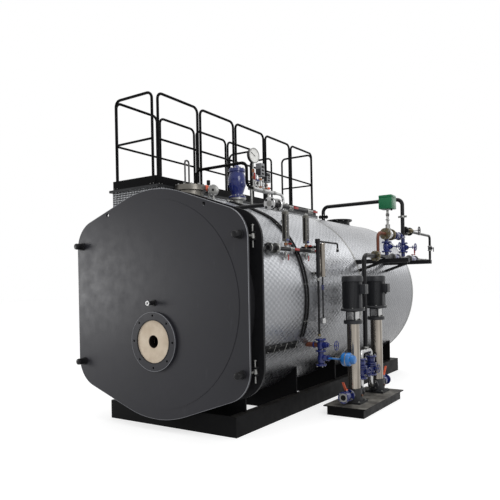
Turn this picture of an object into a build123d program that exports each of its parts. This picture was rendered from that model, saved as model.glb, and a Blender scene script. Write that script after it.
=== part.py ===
from build123d import *
import math
import os

os.makedirs("parts", exist_ok=True)

# Industrial steam boiler: a clad horizontal shell on a base frame, with a hinged front door,
# a walkway on top, level and steam fittings, and a twin pump set with its feed water station.
# Millimetres, +Z up. The door faces -Y and the pumps stand on the +X side. The origin is on
# the ground under the shell axis, halfway along the base frame. Lengthwise places are given
# as distances behind the door's front face.

# Clearances and the number of sides of round pieces, from pipes to drums
SEAT_GAP = 0.3
DRAW_CLEARANCE = 15
BODY_SIDES = 8
PIPE_SIDES = 8
RAIL_SIDES = 6
ROUND_SIDES = 12
DRUM_SIDES = 24

# Shell. Heights follow its axis and its top, and the fittings' reach follows its radius.
SHELL_RADIUS = 1250
SHELL_WALL = 40
GROUND_GAP = 180
AXIS_Z = SHELL_RADIUS + GROUND_GAP
TOP_Z = AXIS_Z + SHELL_RADIUS
SHELL_FRONT = 285
SHELL_LENGTH = 4915
SHELL_REAR = SHELL_FRONT + SHELL_LENGTH

# Base frame
BASE_LEAD = 88
BASE_LAG = 3
BASE_FRONT = SHELL_FRONT - BASE_LEAD
BASE_LENGTH = SHELL_LENGTH + BASE_LEAD - BASE_LAG
BEAM_HALF_WIDTH = 955
BEAM_WIDTH = 100
BEAM_HEIGHT = 220
BEAM_WALL = 8
BASE_PLATE_THICKNESS = 12
SADDLE_COUNT = 5
SADDLE_THICKNESS = 24
SADDLE_INSET = 260
SADDLE_PITCH = (BASE_LENGTH - 2 * SADDLE_INSET) / (SADDLE_COUNT - 1)
SADDLE_HALF_WIDTH = 900
SADDLE_RISE = 340

# Door and front flange plate
PLATE_MARGIN = 31
PLATE_HALF_WIDTH = SHELL_RADIUS + PLATE_MARGIN
PLATE_DROP = 15
PLATE_CENTRE_Z = AXIS_Z - PLATE_DROP
PLATE_CORNER_RADIUS = 350
PLATE_CORNER_DROP = 590
PLATE_CORNER_RISE = SHELL_RADIUS - PLATE_CORNER_DROP
FLANGE_PLATE_THICKNESS = 30
DOOR_THICKNESS = 25
DOOR_DISC_MARGIN = 116
DOOR_DISC_RADIUS = PLATE_HALF_WIDTH - DOOR_DISC_MARGIN
DOOR_DISC_RISE = 4
DOOR_LINING_DEPTH = 40
DOOR_SEAL_GAP = 5
SMOKE_BOX_MARGIN = 70
SMOKE_BOX_RADIUS = SHELL_RADIUS - SMOKE_BOX_MARGIN
SMOKE_BOX_WALL = 50
LINING_CLEARANCE = 80
DOOR_LINING_RADIUS = SMOKE_BOX_RADIUS - SMOKE_BOX_WALL - LINING_CLEARANCE
LIFTING_HOLE_RADIUS = 22
LIFTING_HOLE_ANGLE = 55.1

# Swing bolts, their pins and nuts
HINGE_INSET = 93
HINGE_X = PLATE_HALF_WIDTH - HINGE_INSET
HINGE_BACK = 225
HINGE_LIFT = 40
HINGE_RISE = PLATE_CORNER_RISE + HINGE_LIFT
HINGE_HEIGHTS = (PLATE_CENTRE_Z - HINGE_RISE, PLATE_CENTRE_Z + HINGE_RISE)
PIN_RADIUS = 12
PIN_LENGTH = 240
PIN_HEAD_RADIUS = 19
PIN_HEAD_LENGTH = 12
EYE_RADIUS = 28
EYE_HEIGHT = 50
BOLT_RADIUS = 13
BRACKET_GAP = 60
BRACKET_LEAF = 16
NUT_RADIUS = 38
NUT_COLLAR_RADIUS = 46
NUT_COLLAR_LENGTH = 22
NUT_LENGTH = 110
NUT_END_WALL = 14

# Burner opening and furnace
BURNER_DROP = 430
BURNER_Z = AXIS_Z - BURNER_DROP
BURNER_FLANGE_RADIUS = 330
BURNER_FLANGE_THICKNESS = 30
BURNER_BOLT_CIRCLE = 290
BURNER_BOLT_RADIUS = 13
BURNER_BOLT_COUNT = 8
REFRACTORY_RADIUS = 237.5
REFRACTORY_DEPTH = 90
FLAME_HOLE_RADIUS = 72
FURNACE_RADIUS = 430
FURNACE_WALL = 20
FURNACE_REAR_GAP = 415
FURNACE_LENGTH = SHELL_LENGTH - FURNACE_REAR_GAP
SIGHT_TUBE_Z = AXIS_Z
SIGHT_TUBE_RADIUS = 24
SIGHT_COLLAR_RADIUS = 36
SIGHT_COLLAR_LENGTH = 18
SIGHT_TUBE_LENGTH = 105

# Rear end and flue
REAR_PLATE_THICKNESS = 25
REAR_FLANGE_RADIUS = 640
REAR_FLANGE_THICKNESS = 20
REAR_COVER_RADIUS = 560
REAR_COVER_DEPTH = 70
FLUE_INSET = 350
FLUE_BACK = SHELL_REAR - FLUE_INSET
FLUE_RADIUS = 190
FLUE_WALL = 12
FLUE_FLANGE_RADIUS = 235
FLUE_FLANGE_THICKNESS = 25
FLUE_RISE = 95
FLUE_TOP_Z = TOP_Z + FLUE_RISE

# Walkway
DECK_RISE = 130
DECK_Z = TOP_Z + DECK_RISE
DECK_THICKNESS = 30
WALKWAY_LEFT = -960
WALKWAY_RIGHT = -140
WALKWAY_LEAD = 53
WALKWAY_FRONT = SHELL_FRONT - WALKWAY_LEAD
WALKWAY_LAG = 950
WALKWAY_REAR = SHELL_REAR - WALKWAY_LAG
HOUSING_GAP = 5
LANDING_REACH = 170
LANDING_LEFT = -(SHELL_RADIUS + LANDING_REACH)
LANDING_LAG = 230
LANDING_LENGTH = 690
LANDING_REAR = WALKWAY_REAR - LANDING_LAG
LANDING_FRONT = LANDING_REAR - LANDING_LENGTH
LANDING_RAIL_INSET = 20
RAIL_FAR_INSET = 81
RAIL_NEAR_INSET = 58
RAIL_FAR_X = WALKWAY_LEFT + RAIL_FAR_INSET
RAIL_NEAR_X = WALKWAY_RIGHT - RAIL_NEAR_INSET
RAIL_RADIUS = 17
KNEE_RADIUS = 14
RAIL_BEND = 75
RAIL_HEIGHT = 1100
KNEE_HEIGHT = RAIL_HEIGHT / 2
RAIL_END_INSET = 35
RAIL_SPACING = 57
NEAR_LEAD = 88
NEAR_START = WALKWAY_FRONT + NEAR_LEAD
NEAR_COUNT = 5
NEAR_PITCH = (WALKWAY_REAR - RAIL_END_INSET - NEAR_START) / NEAR_COUNT
NEAR_LENGTH = NEAR_PITCH - RAIL_SPACING
FAR_LEAD = 68
FAR_START = WALKWAY_FRONT + FAR_LEAD
FAR_COUNT = 4
FAR_PITCH = (LANDING_FRONT + RAIL_END_INSET - FAR_START) / FAR_COUNT
FAR_LENGTH = FAR_PITCH - RAIL_SPACING
END_RAIL_LEAD = 30
END_RAIL_FRONT = WALKWAY_FRONT + END_RAIL_LEAD
END_RAIL_REAR = WALKWAY_REAR - RAIL_END_INSET
END_RAIL_INSET = 36
TOE_HEIGHT = 105
TOE_THICKNESS = 6
LADDER_GAUGE = 460
LADDER_RUNG_PITCH = 280
LADDER_RUNG_RADIUS = 13
LADDER_STILE_DEPTH = 60
LADDER_STILE_WIDTH = 14

# Steam fittings on top of the shell
STEAM_VALVE_X = 330
STEAM_VALVE_BACK = 1160
STEAM_VALVE_RISE = 20
STEAM_VALVE_FOOT_Z = TOP_Z + STEAM_VALVE_RISE
STEAM_FLANGE_RADIUS = 112
STEAM_FLANGE_THICKNESS = 22
STEAM_NECK_RADIUS = 68
STEAM_BELLY_RADIUS = 114
STEAM_BELLY_LOW = 130
STEAM_BELLY_HIGH = 230
STEAM_BODY_HEIGHT = 330
STEAM_CAP_RADIUS = 104
STEAM_CAP_THICKNESS = 40
STEAM_BONNET_RADIUS = 40
STEAM_BONNET_HEIGHT = 50
MANHOLE_X = 60
MANHOLE_BACK = 580
MANHOLE_RADIUS = 190
MANHOLE_NECK_RADIUS = 156
MANHOLE_COVER_THICKNESS = 60
MANHOLE_RISE = 120
MANHOLE_TOP_Z = TOP_Z + MANHOLE_RISE
HOOP_RADIUS = 11
HOOP_SPAN = 70
HOOP_BEND = 28
HOOP_HEIGHT = 300
HOOP_OFFSET = 90
BALANCE_X = 800
BALANCE_BACK = 700
BALANCE_RISE = 213
BALANCE_HIGH_Z = MANHOLE_TOP_Z + BALANCE_RISE
BALANCE_LOW_RISE = 55
BALANCE_LOW_Z = TOP_Z + BALANCE_LOW_RISE
BALANCE_END = 1500
BALANCE_RADIUS = 18
BALANCE_BEND = 70
HEADER_X = 350
HEADER_RISE = 180
HEADER_Z = TOP_Z + HEADER_RISE
HEADER_FRONT = 1400
HEADER_REAR = 1900
HEADER_RADIUS = 24
HEADER_STUB_RADIUS = 18
HEADER_STUB_INSET = 45
GAUGE_BACK = 1500
GAUGE_RISE = 440
GAUGE_Z = HEADER_Z + GAUGE_RISE
GAUGE_RADIUS = 100
GAUGE_DEPTH = 55
GAUGE_BEZEL = 8
GAUGE_STEM_RADIUS = 11
GAUGE_TURN = 21.5
SWITCH_BACKS = (1665, 1810)
SWITCH_RISES = (190, 130)
SWITCH_HEIGHTS = (175, 130)
SWITCH_WIDTH = 90
SWITCH_STEM_RADIUS = 22

# Water level fittings on the right of the shell
LEVEL_REACH_SHARE = 0.944
LEVEL_HIGH_SHARE = 0.848
LEVEL_LOW_SHARE = 0.464
LEVEL_X = LEVEL_REACH_SHARE * SHELL_RADIUS
LEVEL_HIGH_Z = AXIS_Z + LEVEL_HIGH_SHARE * SHELL_RADIUS
LEVEL_LOW_Z = AXIS_Z + LEVEL_LOW_SHARE * SHELL_RADIUS
LEVEL_PIPE_RADIUS = 24
LEVEL_HIGH_FLANGE_RADIUS = 72
LEVEL_LOW_FLANGE_RADIUS = 58
LEVEL_FLANGE_THICKNESS = 32
LEVEL_HIGH_FRONT = 600
LEVEL_HIGH_REAR = 1450
LEVEL_LOW_FRONT = 560
LEVEL_LOW_REAR = 1600
LEVEL_NOZZLE_INSET = 40
LEVEL_FLANGE_INSET = 110
COLUMN_BACKS = (905, 1385)
COLUMN_WIDTH = 70
COLUMN_DEPTH = 56
COLUMN_INSET = 62
COLUMN_STEM_RADIUS = 14
COCK_LENGTH = 75
COCK_RADIUS = 9
PROBE_REACH = 50
PROBE_X = SHELL_RADIUS + PROBE_REACH
PROBE_BACK = 1455
PROBE_RADIUS = 24
PROBE_HEAD_RADIUS = 32
PROBE_HEAD_HEIGHT = 50
PROBE_HIGH_RISE = 670
PROBE_LOW_RISE = 260
PROBE_TOP_RISE = 720
PROBE_HIGH_Z = AXIS_Z + PROBE_HIGH_RISE
PROBE_LOW_Z = AXIS_Z + PROBE_LOW_RISE
PROBE_TOP_Z = AXIS_Z + PROBE_TOP_RISE
PROBE_ARM_RADIUS = 12
PROBE_ARM_BEND = 30
PROBE_ARM_DROP = 30
PROBE_ARM_END = 2010
PROBE_GLAND_RADIUS = 18
PROBE_GLAND_HEIGHT = 45
PROBE_GLAND_DROP = 110
CHAMBER_BACK = 1570
CHAMBER_RADIUS = 36
CHAMBER_CAP_RADIUS = 42
CHAMBER_CAP_HEIGHT = 14
TAPPING_RADIUS = 14
TAPPING_INSET = 45
DRAIN_RADIUS = 14
DRAIN_THIN_RADIUS = 10
FUNNEL_DROP = 240
FUNNEL_Z = AXIS_Z - FUNNEL_DROP
FUNNEL_RADIUS = 44
FUNNEL_HEIGHT = 75

# Blowdown valve and control conduits
BLOWDOWN_X = SHELL_RADIUS + PROBE_REACH
BLOWDOWN_BACK = 1490
BLOWDOWN_DROP = 490
BLOWDOWN_LENGTH = 330
BLOWDOWN_HIGH_Z = AXIS_Z - BLOWDOWN_DROP
BLOWDOWN_LOW_Z = BLOWDOWN_HIGH_Z - BLOWDOWN_LENGTH
BLOWDOWN_BODY_RADIUS = 46
BLOWDOWN_FLANGE_RADIUS = 66
BLOWDOWN_FLANGE_THICKNESS = 22
BLOWDOWN_MIDDLE_RISE = 170
BLOWDOWN_MIDDLE_Z = BLOWDOWN_LOW_Z + BLOWDOWN_MIDDLE_RISE
BLOWDOWN_PIPE_DROP = 78
BLOWDOWN_PIPE_Z = BLOWDOWN_HIGH_Z - BLOWDOWN_PIPE_DROP
BLOWDOWN_PIPE_RADIUS = 30
BLOWDOWN_STEM_RISE = 96
BLOWDOWN_STEM_Z = BLOWDOWN_LOW_Z + BLOWDOWN_STEM_RISE
BLOWDOWN_BONNET_RADIUS = 38
BLOWDOWN_BONNET_REACH = 110
BLOWDOWN_WHEEL_REACH = 205
YOKE_SPREAD = 25
YOKE_RADIUS = 9
YOKE_LENGTH = 170
BLOWDOWN_DRUM_RADIUS = 80
BLOWDOWN_DRUM_LENGTH = 120
BLOWDOWN_CAP_RADIUS = 52
BLOWDOWN_CAP_LENGTH = 50
CONDUIT_RADIUS = 12
CONDUIT_BACKS = (1215, 1262)
CONDUIT_LOW_ANGLE = -21
CONDUIT_HIGH_ANGLE = 56
CONDUIT_RUN_FRONT = 470
CONDUIT_RUN_REAR = 1190
CONDUIT_RUN_ANGLES = (-23.5, -26.5)

# Pump set
PUMP_REACH = 315
PUMP_X = SHELL_RADIUS + PUMP_REACH
SKID_HALF_WIDTH = 275
SKID_FRONT = 1540
SKID_REAR = 2890
SKID_HEIGHT = 120
SKID_PLATE = 14
SKID_INSET = 35
SKID_RAIL = 70
PUMP_BACKS = (1860, 2630)
PUMP_FOOT_HALF_WIDTH = 125
PUMP_FOOT_THICKNESS = 25
PUMP_BASE_RADIUS = 100
PUMP_BASE_Z = 300
PUMP_NOZZLE_Z = 235
PUMP_NOZZLE_REACH = 150
PUMP_TUBE_RADIUS = 80
PUMP_HEAD_Z = 1100
PUMP_HEAD_RADIUS = 118
PUMP_HEAD_THICKNESS = 45
LANTERN_HALF_WIDTH = 62
LANTERN_WALL = 22
COUPLING_RADIUS = 26
MOTOR_FLANGE_Z = 1260
MOTOR_FLANGE_RADIUS = 150
MOTOR_FLANGE_THICKNESS = 30
MOTOR_RADIUS = 130
MOTOR_COWL_RADIUS = 135
MOTOR_COWL_HEIGHT = 75
MOTOR_TOP_Z = 1700
TERMINAL_BOX_DEPTH = 60
TERMINAL_BOX_HALF_WIDTH = 52
TERMINAL_BOX_HEIGHT = 120
TERMINAL_BOX_Z = 1470

# Pipes, flanges and valves of the feed water line
FEED_RADIUS = 30
FEED_BEND = 90
FEED_FLANGE_RADIUS = 72
FEED_FLANGE_THICKNESS = 20
SUCTION_BODY_RADIUS = 52
SUCTION_BODY_LENGTH = 140
STEM_RADIUS = 14
SUCTION_STEM_RISE = 75
LEVER_HUB_RADIUS = 20
LEVER_HUB_HEIGHT = 14
LEVER_HALF_WIDTH = 13
LEVER_REACH = 95
LEVER_RISE = 110
BRANCH_INSET = 75
BRANCH_BEND = 60
BRANCH_HEADER_Z = 720
CHECK_LOW_Z = 380
CHECK_HIGH_Z = 640
CHECK_RADIUS = 60
CHECK_FLANGE_RADIUS = 78
CHECK_BONNET_RADIUS = 34
CHECK_BONNET_REACH = 120
FEED_RISE = 540
FEED_LOW_Z = AXIS_Z + FEED_RISE
FEED_STEP = 330
FEED_HIGH_Z = FEED_LOW_Z + FEED_STEP
FEED_END = 4450
RISER_FLANGE_BACK = 2630
BRACKET_BACKS = (2970, 4030)
BRACKET_REACH = 680
BRACKET_HALF_WIDTH = 30
BRACKET_HEIGHT = 60
BRACKET_STRUT_RADIUS = 22
BRACKET_STRUT_REACH = 300
BRACKET_STRUT_DROP = 170
ELBOW_BACK = 2750
CONTROL_BACK = 3150
CONTROL_BODY_RADIUS = 70
CONTROL_BODY_LENGTH = 200
CONTROL_FLANGE_RADIUS = 84
CONTROL_BONNET_HEIGHT = 70
ACTUATOR_SIZE = 200
ACTUATOR_CHAMFER = 14
ACTUATOR_RISE = 360
GLOBE_BACKS = (3090, 3800)
GLOBE_BODY_RADIUS = 52
GLOBE_BODY_LENGTH = 110
GLOBE_STEM_REACH = 190
WHEEL_RADIUS = 62
WHEEL_RIM = 13
WHEEL_THICKNESS = 12
OVER_PIPE_X = 200
OVER_PIPE_RISE = 205
OVER_PIPE_Z = TOP_Z + OVER_PIPE_RISE
OVER_FLANGE_RADIUS = 80
OVER_FLANGE_RISE = 40
BYPASS_RADIUS = 16
BYPASS_BEND = 60
BYPASS_BACK = 5230
BYPASS_RISE = 105
BYPASS_VALVE_RADIUS = 46
BYPASS_VALVE_FLANGE_RADIUS = 66
BYPASS_VALVE_START = 60
BYPASS_VALVE_LENGTH = 230
BYPASS_DRAIN_RADIUS = 28
BYPASS_DRAIN_HEIGHT = 80
BYPASS_DRAIN_REACH = 70
STATION_LEVER_BACK = 4250
STATION_STEM_RISE = 70
STATION_LEVER_HEIGHT = 10
STATION_LEVER_LENGTH = 130
STATION_LEVER_HALF_WIDTH = 10

DOOR_FACE_Y = -(BASE_FRONT + BASE_LENGTH / 2)


def back(distance):
    return DOOR_FACE_Y + distance


def at(x, distance, z):
    return (x, back(distance), z)


def upright(distance):
    """A plane across the boiler, facing the front."""
    return Plane.XZ.offset(-back(distance))


def drum(start, end, radius, mode=Mode.ADD):
    span = Vector(*end) - Vector(*start)
    with Locations(Plane(origin=start, z_dir=span).location):
        Cylinder(radius, span.length, align=(Align.CENTER, Align.CENTER, Align.MIN), mode=mode)


def bar(start, end, radius, sides=BODY_SIDES, mode=Mode.ADD):
    """A straight pipe, flange or stem with few sides, its corners on the radius."""
    span = Vector(*end) - Vector(*start)
    with BuildSketch(Plane(origin=start, z_dir=span)) as section:
        RegularPolygon(radius, sides)
    extrude(section.sketch, amount=span.length, mode=mode)


def post(x, distance, heights, radius, sides=BODY_SIDES, mode=Mode.ADD):
    bar(at(x, distance, heights[0]), at(x, distance, heights[1]), radius, sides, mode)


def lengthwise(x, distances, z, radius, sides=BODY_SIDES):
    bar(at(x, distances[0], z), at(x, distances[1], z), radius, sides)


def across(x_span, distance, z, radius, sides=BODY_SIDES):
    bar(at(x_span[0], distance, z), at(x_span[1], distance, z), radius, sides)


def block(x_span, y_span, z_span, mode=Mode.ADD):
    with Locations((sum(x_span) / 2, sum(y_span) / 2, sum(z_span) / 2)):
        Box(x_span[1] - x_span[0], y_span[1] - y_span[0], z_span[1] - z_span[0], mode=mode)


def eased(points, bend):
    """A route's points with each corner eased into two chords of its bend."""
    route = [Vector(*points[0])]
    for before, middle, after in zip(points, points[1:], points[2:]):
        corner = Vector(*middle)
        inward = (corner - Vector(*before)).normalized()
        outward = (Vector(*after) - corner).normalized()
        half_turn = math.radians(inward.get_angle(outward)) / 2
        reach = bend * math.tan(half_turn)
        apex = corner + (outward - inward).normalized() * (bend / math.cos(half_turn) - bend)
        route += [corner - inward * reach, apex, corner + outward * reach]
    return route + [Vector(*points[-1])]


def pipe_run(points, radius, bend, sides=PIPE_SIDES):
    with BuildLine() as route:
        Polyline(*eased(points, bend))
    with BuildSketch(Plane(origin=route.line @ 0, z_dir=route.line % 0)) as section:
        RegularPolygon(radius, sides)
    sweep(section.sketch, path=route.line, transition=Transition.RIGHT)


def clear_of_shell():
    far_end = at(0, 2 * SHELL_REAR, AXIS_Z)
    drum(at(0, 0, AXIS_Z), far_end, SHELL_RADIUS + SEAT_GAP, Mode.SUBTRACT)


def plate_outline():
    """The door's outline: a disc drawn out to four rounded corners."""
    with BuildSketch() as outline:
        with Locations((0, PLATE_CENTRE_Z)):
            Circle(PLATE_HALF_WIDTH)
            corner_x = PLATE_HALF_WIDTH - PLATE_CORNER_RADIUS
            with GridLocations(2 * corner_x, 2 * PLATE_CORNER_RISE, 2, 2):
                Circle(PLATE_CORNER_RADIUS)
        make_hull()
    return outline.sketch


flange_plate_front = SHELL_FRONT - FLANGE_PLATE_THICKNESS
smoke_box_front = DOOR_THICKNESS + DOOR_SEAL_GAP
lining_back = DOOR_THICKNESS + DOOR_LINING_DEPTH

# Shell with its insulation and cladding
with BuildPart() as shell:
    with BuildSketch(upright(SHELL_FRONT)):
        with Locations((0, AXIS_Z)):
            Circle(SHELL_RADIUS)
            Circle(SHELL_RADIUS - SHELL_WALL, mode=Mode.SUBTRACT)
    extrude(amount=-SHELL_LENGTH)

# Front flange plate with the smoke box ring that the door closes
with BuildPart() as front_flange_plate:
    with BuildSketch(upright(flange_plate_front)):
        add(plate_outline())
        with Locations((0, BURNER_Z)):
            Circle(FURNACE_RADIUS, mode=Mode.SUBTRACT)
    extrude(amount=-FLANGE_PLATE_THICKNESS)
    with BuildSketch(upright(flange_plate_front)):
        with Locations((0, PLATE_CENTRE_Z)):
            Circle(SMOKE_BOX_RADIUS)
            Circle(SMOKE_BOX_RADIUS - SMOKE_BOX_WALL, mode=Mode.SUBTRACT)
    extrude(amount=flange_plate_front - smoke_box_front)

with BuildPart() as furnace_tube:
    with BuildSketch(upright(SHELL_FRONT)):
        with Locations((0, BURNER_Z)):
            Circle(FURNACE_RADIUS + FURNACE_WALL)
    extrude(amount=-FURNACE_LENGTH)
    furnace_mouth = furnace_tube.faces().sort_by(Axis.Y)[0]
    offset(amount=-FURNACE_WALL, openings=furnace_mouth)

# Door. The swing bolts on the hinge side carry it, and those on the other side draw out of it.
bolt_clearances = {1: SEAT_GAP, -1: DRAW_CLEARANCE}

with BuildPart() as front_door:
    with BuildSketch(upright(0)):
        add(plate_outline())
    extrude(amount=-DOOR_THICKNESS)
    with BuildSketch(upright(0)):
        with Locations((0, PLATE_CENTRE_Z)):
            Circle(DOOR_DISC_RADIUS)
    extrude(amount=DOOR_DISC_RISE)
    with BuildSketch(upright(DOOR_THICKNESS)):
        with Locations((0, PLATE_CENTRE_Z)):
            Circle(DOOR_LINING_RADIUS)
    extrude(amount=-DOOR_LINING_DEPTH)
    with BuildSketch(upright(-DOOR_DISC_RISE)):
        with Locations((0, BURNER_Z)):
            Circle(REFRACTORY_RADIUS + SEAT_GAP)
        lifting_x = PLATE_HALF_WIDTH * math.cos(math.radians(LIFTING_HOLE_ANGLE))
        lifting_z = PLATE_CENTRE_Z + PLATE_HALF_WIDTH * math.sin(math.radians(LIFTING_HOLE_ANGLE))
        with Locations((-lifting_x, lifting_z), (lifting_x, lifting_z)):
            RegularPolygon(LIFTING_HOLE_RADIUS, ROUND_SIDES)
        for side, clearance in bolt_clearances.items():
            with Locations(*[(side * HINGE_X, height) for height in HINGE_HEIGHTS]):
                RegularPolygon(BOLT_RADIUS + clearance, PIPE_SIDES)
    extrude(amount=-(DOOR_DISC_RISE + lining_back), mode=Mode.SUBTRACT)

with BuildPart() as burner_flange:
    with BuildSketch(upright(-DOOR_DISC_RISE)):
        with Locations((0, BURNER_Z)):
            Circle(BURNER_FLANGE_RADIUS)
            Circle(REFRACTORY_RADIUS + SEAT_GAP, mode=Mode.SUBTRACT)
            with PolarLocations(BURNER_BOLT_CIRCLE, BURNER_BOLT_COUNT):
                Circle(BURNER_BOLT_RADIUS, mode=Mode.SUBTRACT)
    extrude(amount=BURNER_FLANGE_THICKNESS)

with BuildPart() as burner_refractory:
    with BuildSketch(upright(lining_back)):
        with Locations((0, BURNER_Z)):
            Circle(REFRACTORY_RADIUS)
            Circle(FLAME_HOLE_RADIUS, mode=Mode.SUBTRACT)
    extrude(amount=REFRACTORY_DEPTH)

with BuildPart() as sight_tube:
    sight_end = -DOOR_DISC_RISE - SIGHT_TUBE_LENGTH
    sight_foot = at(0, -DOOR_DISC_RISE, SIGHT_TUBE_Z)
    bar(sight_foot, at(0, sight_end, SIGHT_TUBE_Z), SIGHT_TUBE_RADIUS)
    bar(sight_foot, at(0, -DOOR_DISC_RISE - SIGHT_COLLAR_LENGTH, SIGHT_TUBE_Z), SIGHT_COLLAR_RADIUS)
    lengthwise(0, (sight_end + SIGHT_COLLAR_LENGTH, sight_end), SIGHT_TUBE_Z, SIGHT_COLLAR_RADIUS)

with BuildPart() as door_nuts:
    for side, clearance in bolt_clearances.items():
        for height in HINGE_HEIGHTS:
            nut_seat = at(side * HINGE_X, 0, height)
            bar(nut_seat, at(side * HINGE_X, -NUT_LENGTH, height), NUT_RADIUS)
            bar(nut_seat, at(side * HINGE_X, -NUT_COLLAR_LENGTH, height), NUT_COLLAR_RADIUS)
            bore_end = at(side * HINGE_X, NUT_END_WALL - NUT_LENGTH, height)
            bar(nut_seat, bore_end, BOLT_RADIUS + clearance, PIPE_SIDES, Mode.SUBTRACT)


def eye_bolts(side):
    """Two swing bolts on one side: an eye round the hinge pin and a shank through the door."""
    eye_bore = (PIN_RADIUS + SEAT_GAP) / math.cos(math.pi / ROUND_SIDES)
    for height in HINGE_HEIGHTS:
        eye_low = at(side * HINGE_X, HINGE_BACK, height - EYE_HEIGHT / 2)
        eye_high = at(side * HINGE_X, HINGE_BACK, height + EYE_HEIGHT / 2)
        bar(eye_low, eye_high, EYE_RADIUS)
        shank_end = at(side * HINGE_X, 2 * NUT_END_WALL - NUT_LENGTH, height)
        bar(at(side * HINGE_X, HINGE_BACK, height), shank_end, BOLT_RADIUS, PIPE_SIDES)
        bar(eye_low, eye_high, eye_bore, ROUND_SIDES, Mode.SUBTRACT)


with BuildPart() as door_eye_bolts:
    eye_bolts(1)

with BuildPart() as casing_eye_bolts:
    eye_bolts(-1)

with BuildPart() as hinge_pins:
    for side in (-1, 1):
        for height in HINGE_HEIGHTS:
            pin_low = at(side * HINGE_X, HINGE_BACK, height - PIN_LENGTH / 2)
            pin_high = at(side * HINGE_X, HINGE_BACK, height + PIN_LENGTH / 2)
            bar(pin_low, pin_high, PIN_RADIUS, PIPE_SIDES)
            head_foot = at(side * HINGE_X, HINGE_BACK, height + PIN_LENGTH / 2 - PIN_HEAD_LENGTH)
            bar(head_foot, pin_high, PIN_HEAD_RADIUS)

with BuildPart() as hinge_brackets:
    for side in (-1, 1):
        x_span = (side * HINGE_X - EYE_RADIUS, side * HINGE_X + EYE_RADIUS)
        y_span = (back(HINGE_BACK - EYE_RADIUS), back(flange_plate_front))
        for height in HINGE_HEIGHTS:
            for leaf_low in (height - BRACKET_GAP / 2 - BRACKET_LEAF, height + BRACKET_GAP / 2):
                block(x_span, y_span, (leaf_low, leaf_low + BRACKET_LEAF))
            pin_low = at(side * HINGE_X, HINGE_BACK, height - PIN_LENGTH / 2)
            pin_high = at(side * HINGE_X, HINGE_BACK, height + PIN_LENGTH / 2)
            bar(pin_low, pin_high, PIN_RADIUS + SEAT_GAP, PIPE_SIDES, Mode.SUBTRACT)

# Rear end
with BuildPart() as rear_end_plate:
    drum(at(0, SHELL_REAR, AXIS_Z), at(0, SHELL_REAR + REAR_PLATE_THICKNESS, AXIS_Z), SHELL_RADIUS)

rear_face = SHELL_REAR + REAR_PLATE_THICKNESS
with BuildPart() as rear_cover:
    cover_foot = at(0, rear_face, AXIS_Z)
    bar(cover_foot, at(0, rear_face + REAR_FLANGE_THICKNESS, AXIS_Z), REAR_FLANGE_RADIUS, DRUM_SIDES)
    bar(cover_foot, at(0, rear_face + REAR_COVER_DEPTH, AXIS_Z), REAR_COVER_RADIUS, DRUM_SIDES)

with BuildPart() as flue_outlet:
    post(0, FLUE_BACK, (AXIS_Z, FLUE_TOP_Z), FLUE_RADIUS, ROUND_SIDES)
    clear_of_shell()
    post(0, FLUE_BACK, (FLUE_TOP_Z - FLUE_FLANGE_THICKNESS, FLUE_TOP_Z), FLUE_FLANGE_RADIUS, DRUM_SIDES)
    post(0, FLUE_BACK, (AXIS_Z, FLUE_TOP_Z), FLUE_RADIUS - FLUE_WALL, ROUND_SIDES, Mode.SUBTRACT)

# Base frame
with BuildPart() as base_beams:
    for side in (-1, 1):
        with BuildSketch(upright(BASE_FRONT + BASE_PLATE_THICKNESS)):
            with Locations((side * (BEAM_HALF_WIDTH - BEAM_WIDTH / 2), BEAM_HEIGHT / 2)):
                Rectangle(BEAM_WIDTH, BEAM_HEIGHT)
                Rectangle(BEAM_WIDTH - 2 * BEAM_WALL, BEAM_HEIGHT - 2 * BEAM_WALL, mode=Mode.SUBTRACT)
        extrude(amount=-(BASE_LENGTH - 2 * BASE_PLATE_THICKNESS))

with BuildPart() as base_end_plates:
    for plate_front in (BASE_FRONT, BASE_FRONT + BASE_LENGTH - BASE_PLATE_THICKNESS):
        y_span = (back(plate_front), back(plate_front + BASE_PLATE_THICKNESS))
        block((-BEAM_HALF_WIDTH, BEAM_HALF_WIDTH), y_span, (0, BEAM_HEIGHT))
    clear_of_shell()

beam_inner = BEAM_HALF_WIDTH - BEAM_WIDTH
with BuildPart() as saddles:
    for step in range(SADDLE_COUNT):
        saddle_y = (step - (SADDLE_COUNT - 1) / 2) * SADDLE_PITCH
        y_span = (saddle_y - SADDLE_THICKNESS / 2, saddle_y + SADDLE_THICKNESS / 2)
        block((-beam_inner, beam_inner), y_span, (0, BEAM_HEIGHT))
        block((-SADDLE_HALF_WIDTH, SADDLE_HALF_WIDTH), y_span, (BEAM_HEIGHT, BEAM_HEIGHT + SADDLE_RISE))
    clear_of_shell()

# Walkway
deck_z = (DECK_Z - DECK_THICKNESS, DECK_Z)
with BuildPart() as walkway_housing:
    y_span = (back(SHELL_FRONT + HOUSING_GAP), back(WALKWAY_REAR))
    block((WALKWAY_LEFT, WALKWAY_RIGHT), y_span, (AXIS_Z, deck_z[0]))
    clear_of_shell()

with BuildPart() as walkway_deck:
    block((WALKWAY_LEFT, WALKWAY_RIGHT), (back(WALKWAY_FRONT), back(WALKWAY_REAR)), deck_z)
    block((LANDING_LEFT, WALKWAY_LEFT), (back(LANDING_FRONT), back(LANDING_REAR)), deck_z)


def rail_frame(start, end):
    """One bent tube guard frame with its knee rail, between two posts on the deck."""
    rail_z = DECK_Z + RAIL_HEIGHT
    knee_z = DECK_Z + KNEE_HEIGHT
    rail_points = ((*start, DECK_Z), (*start, rail_z), (*end, rail_z), (*end, DECK_Z))
    pipe_run(rail_points, RAIL_RADIUS, RAIL_BEND, RAIL_SIDES)
    bar((*start, knee_z), (*end, knee_z), KNEE_RADIUS, RAIL_SIDES)


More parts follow.
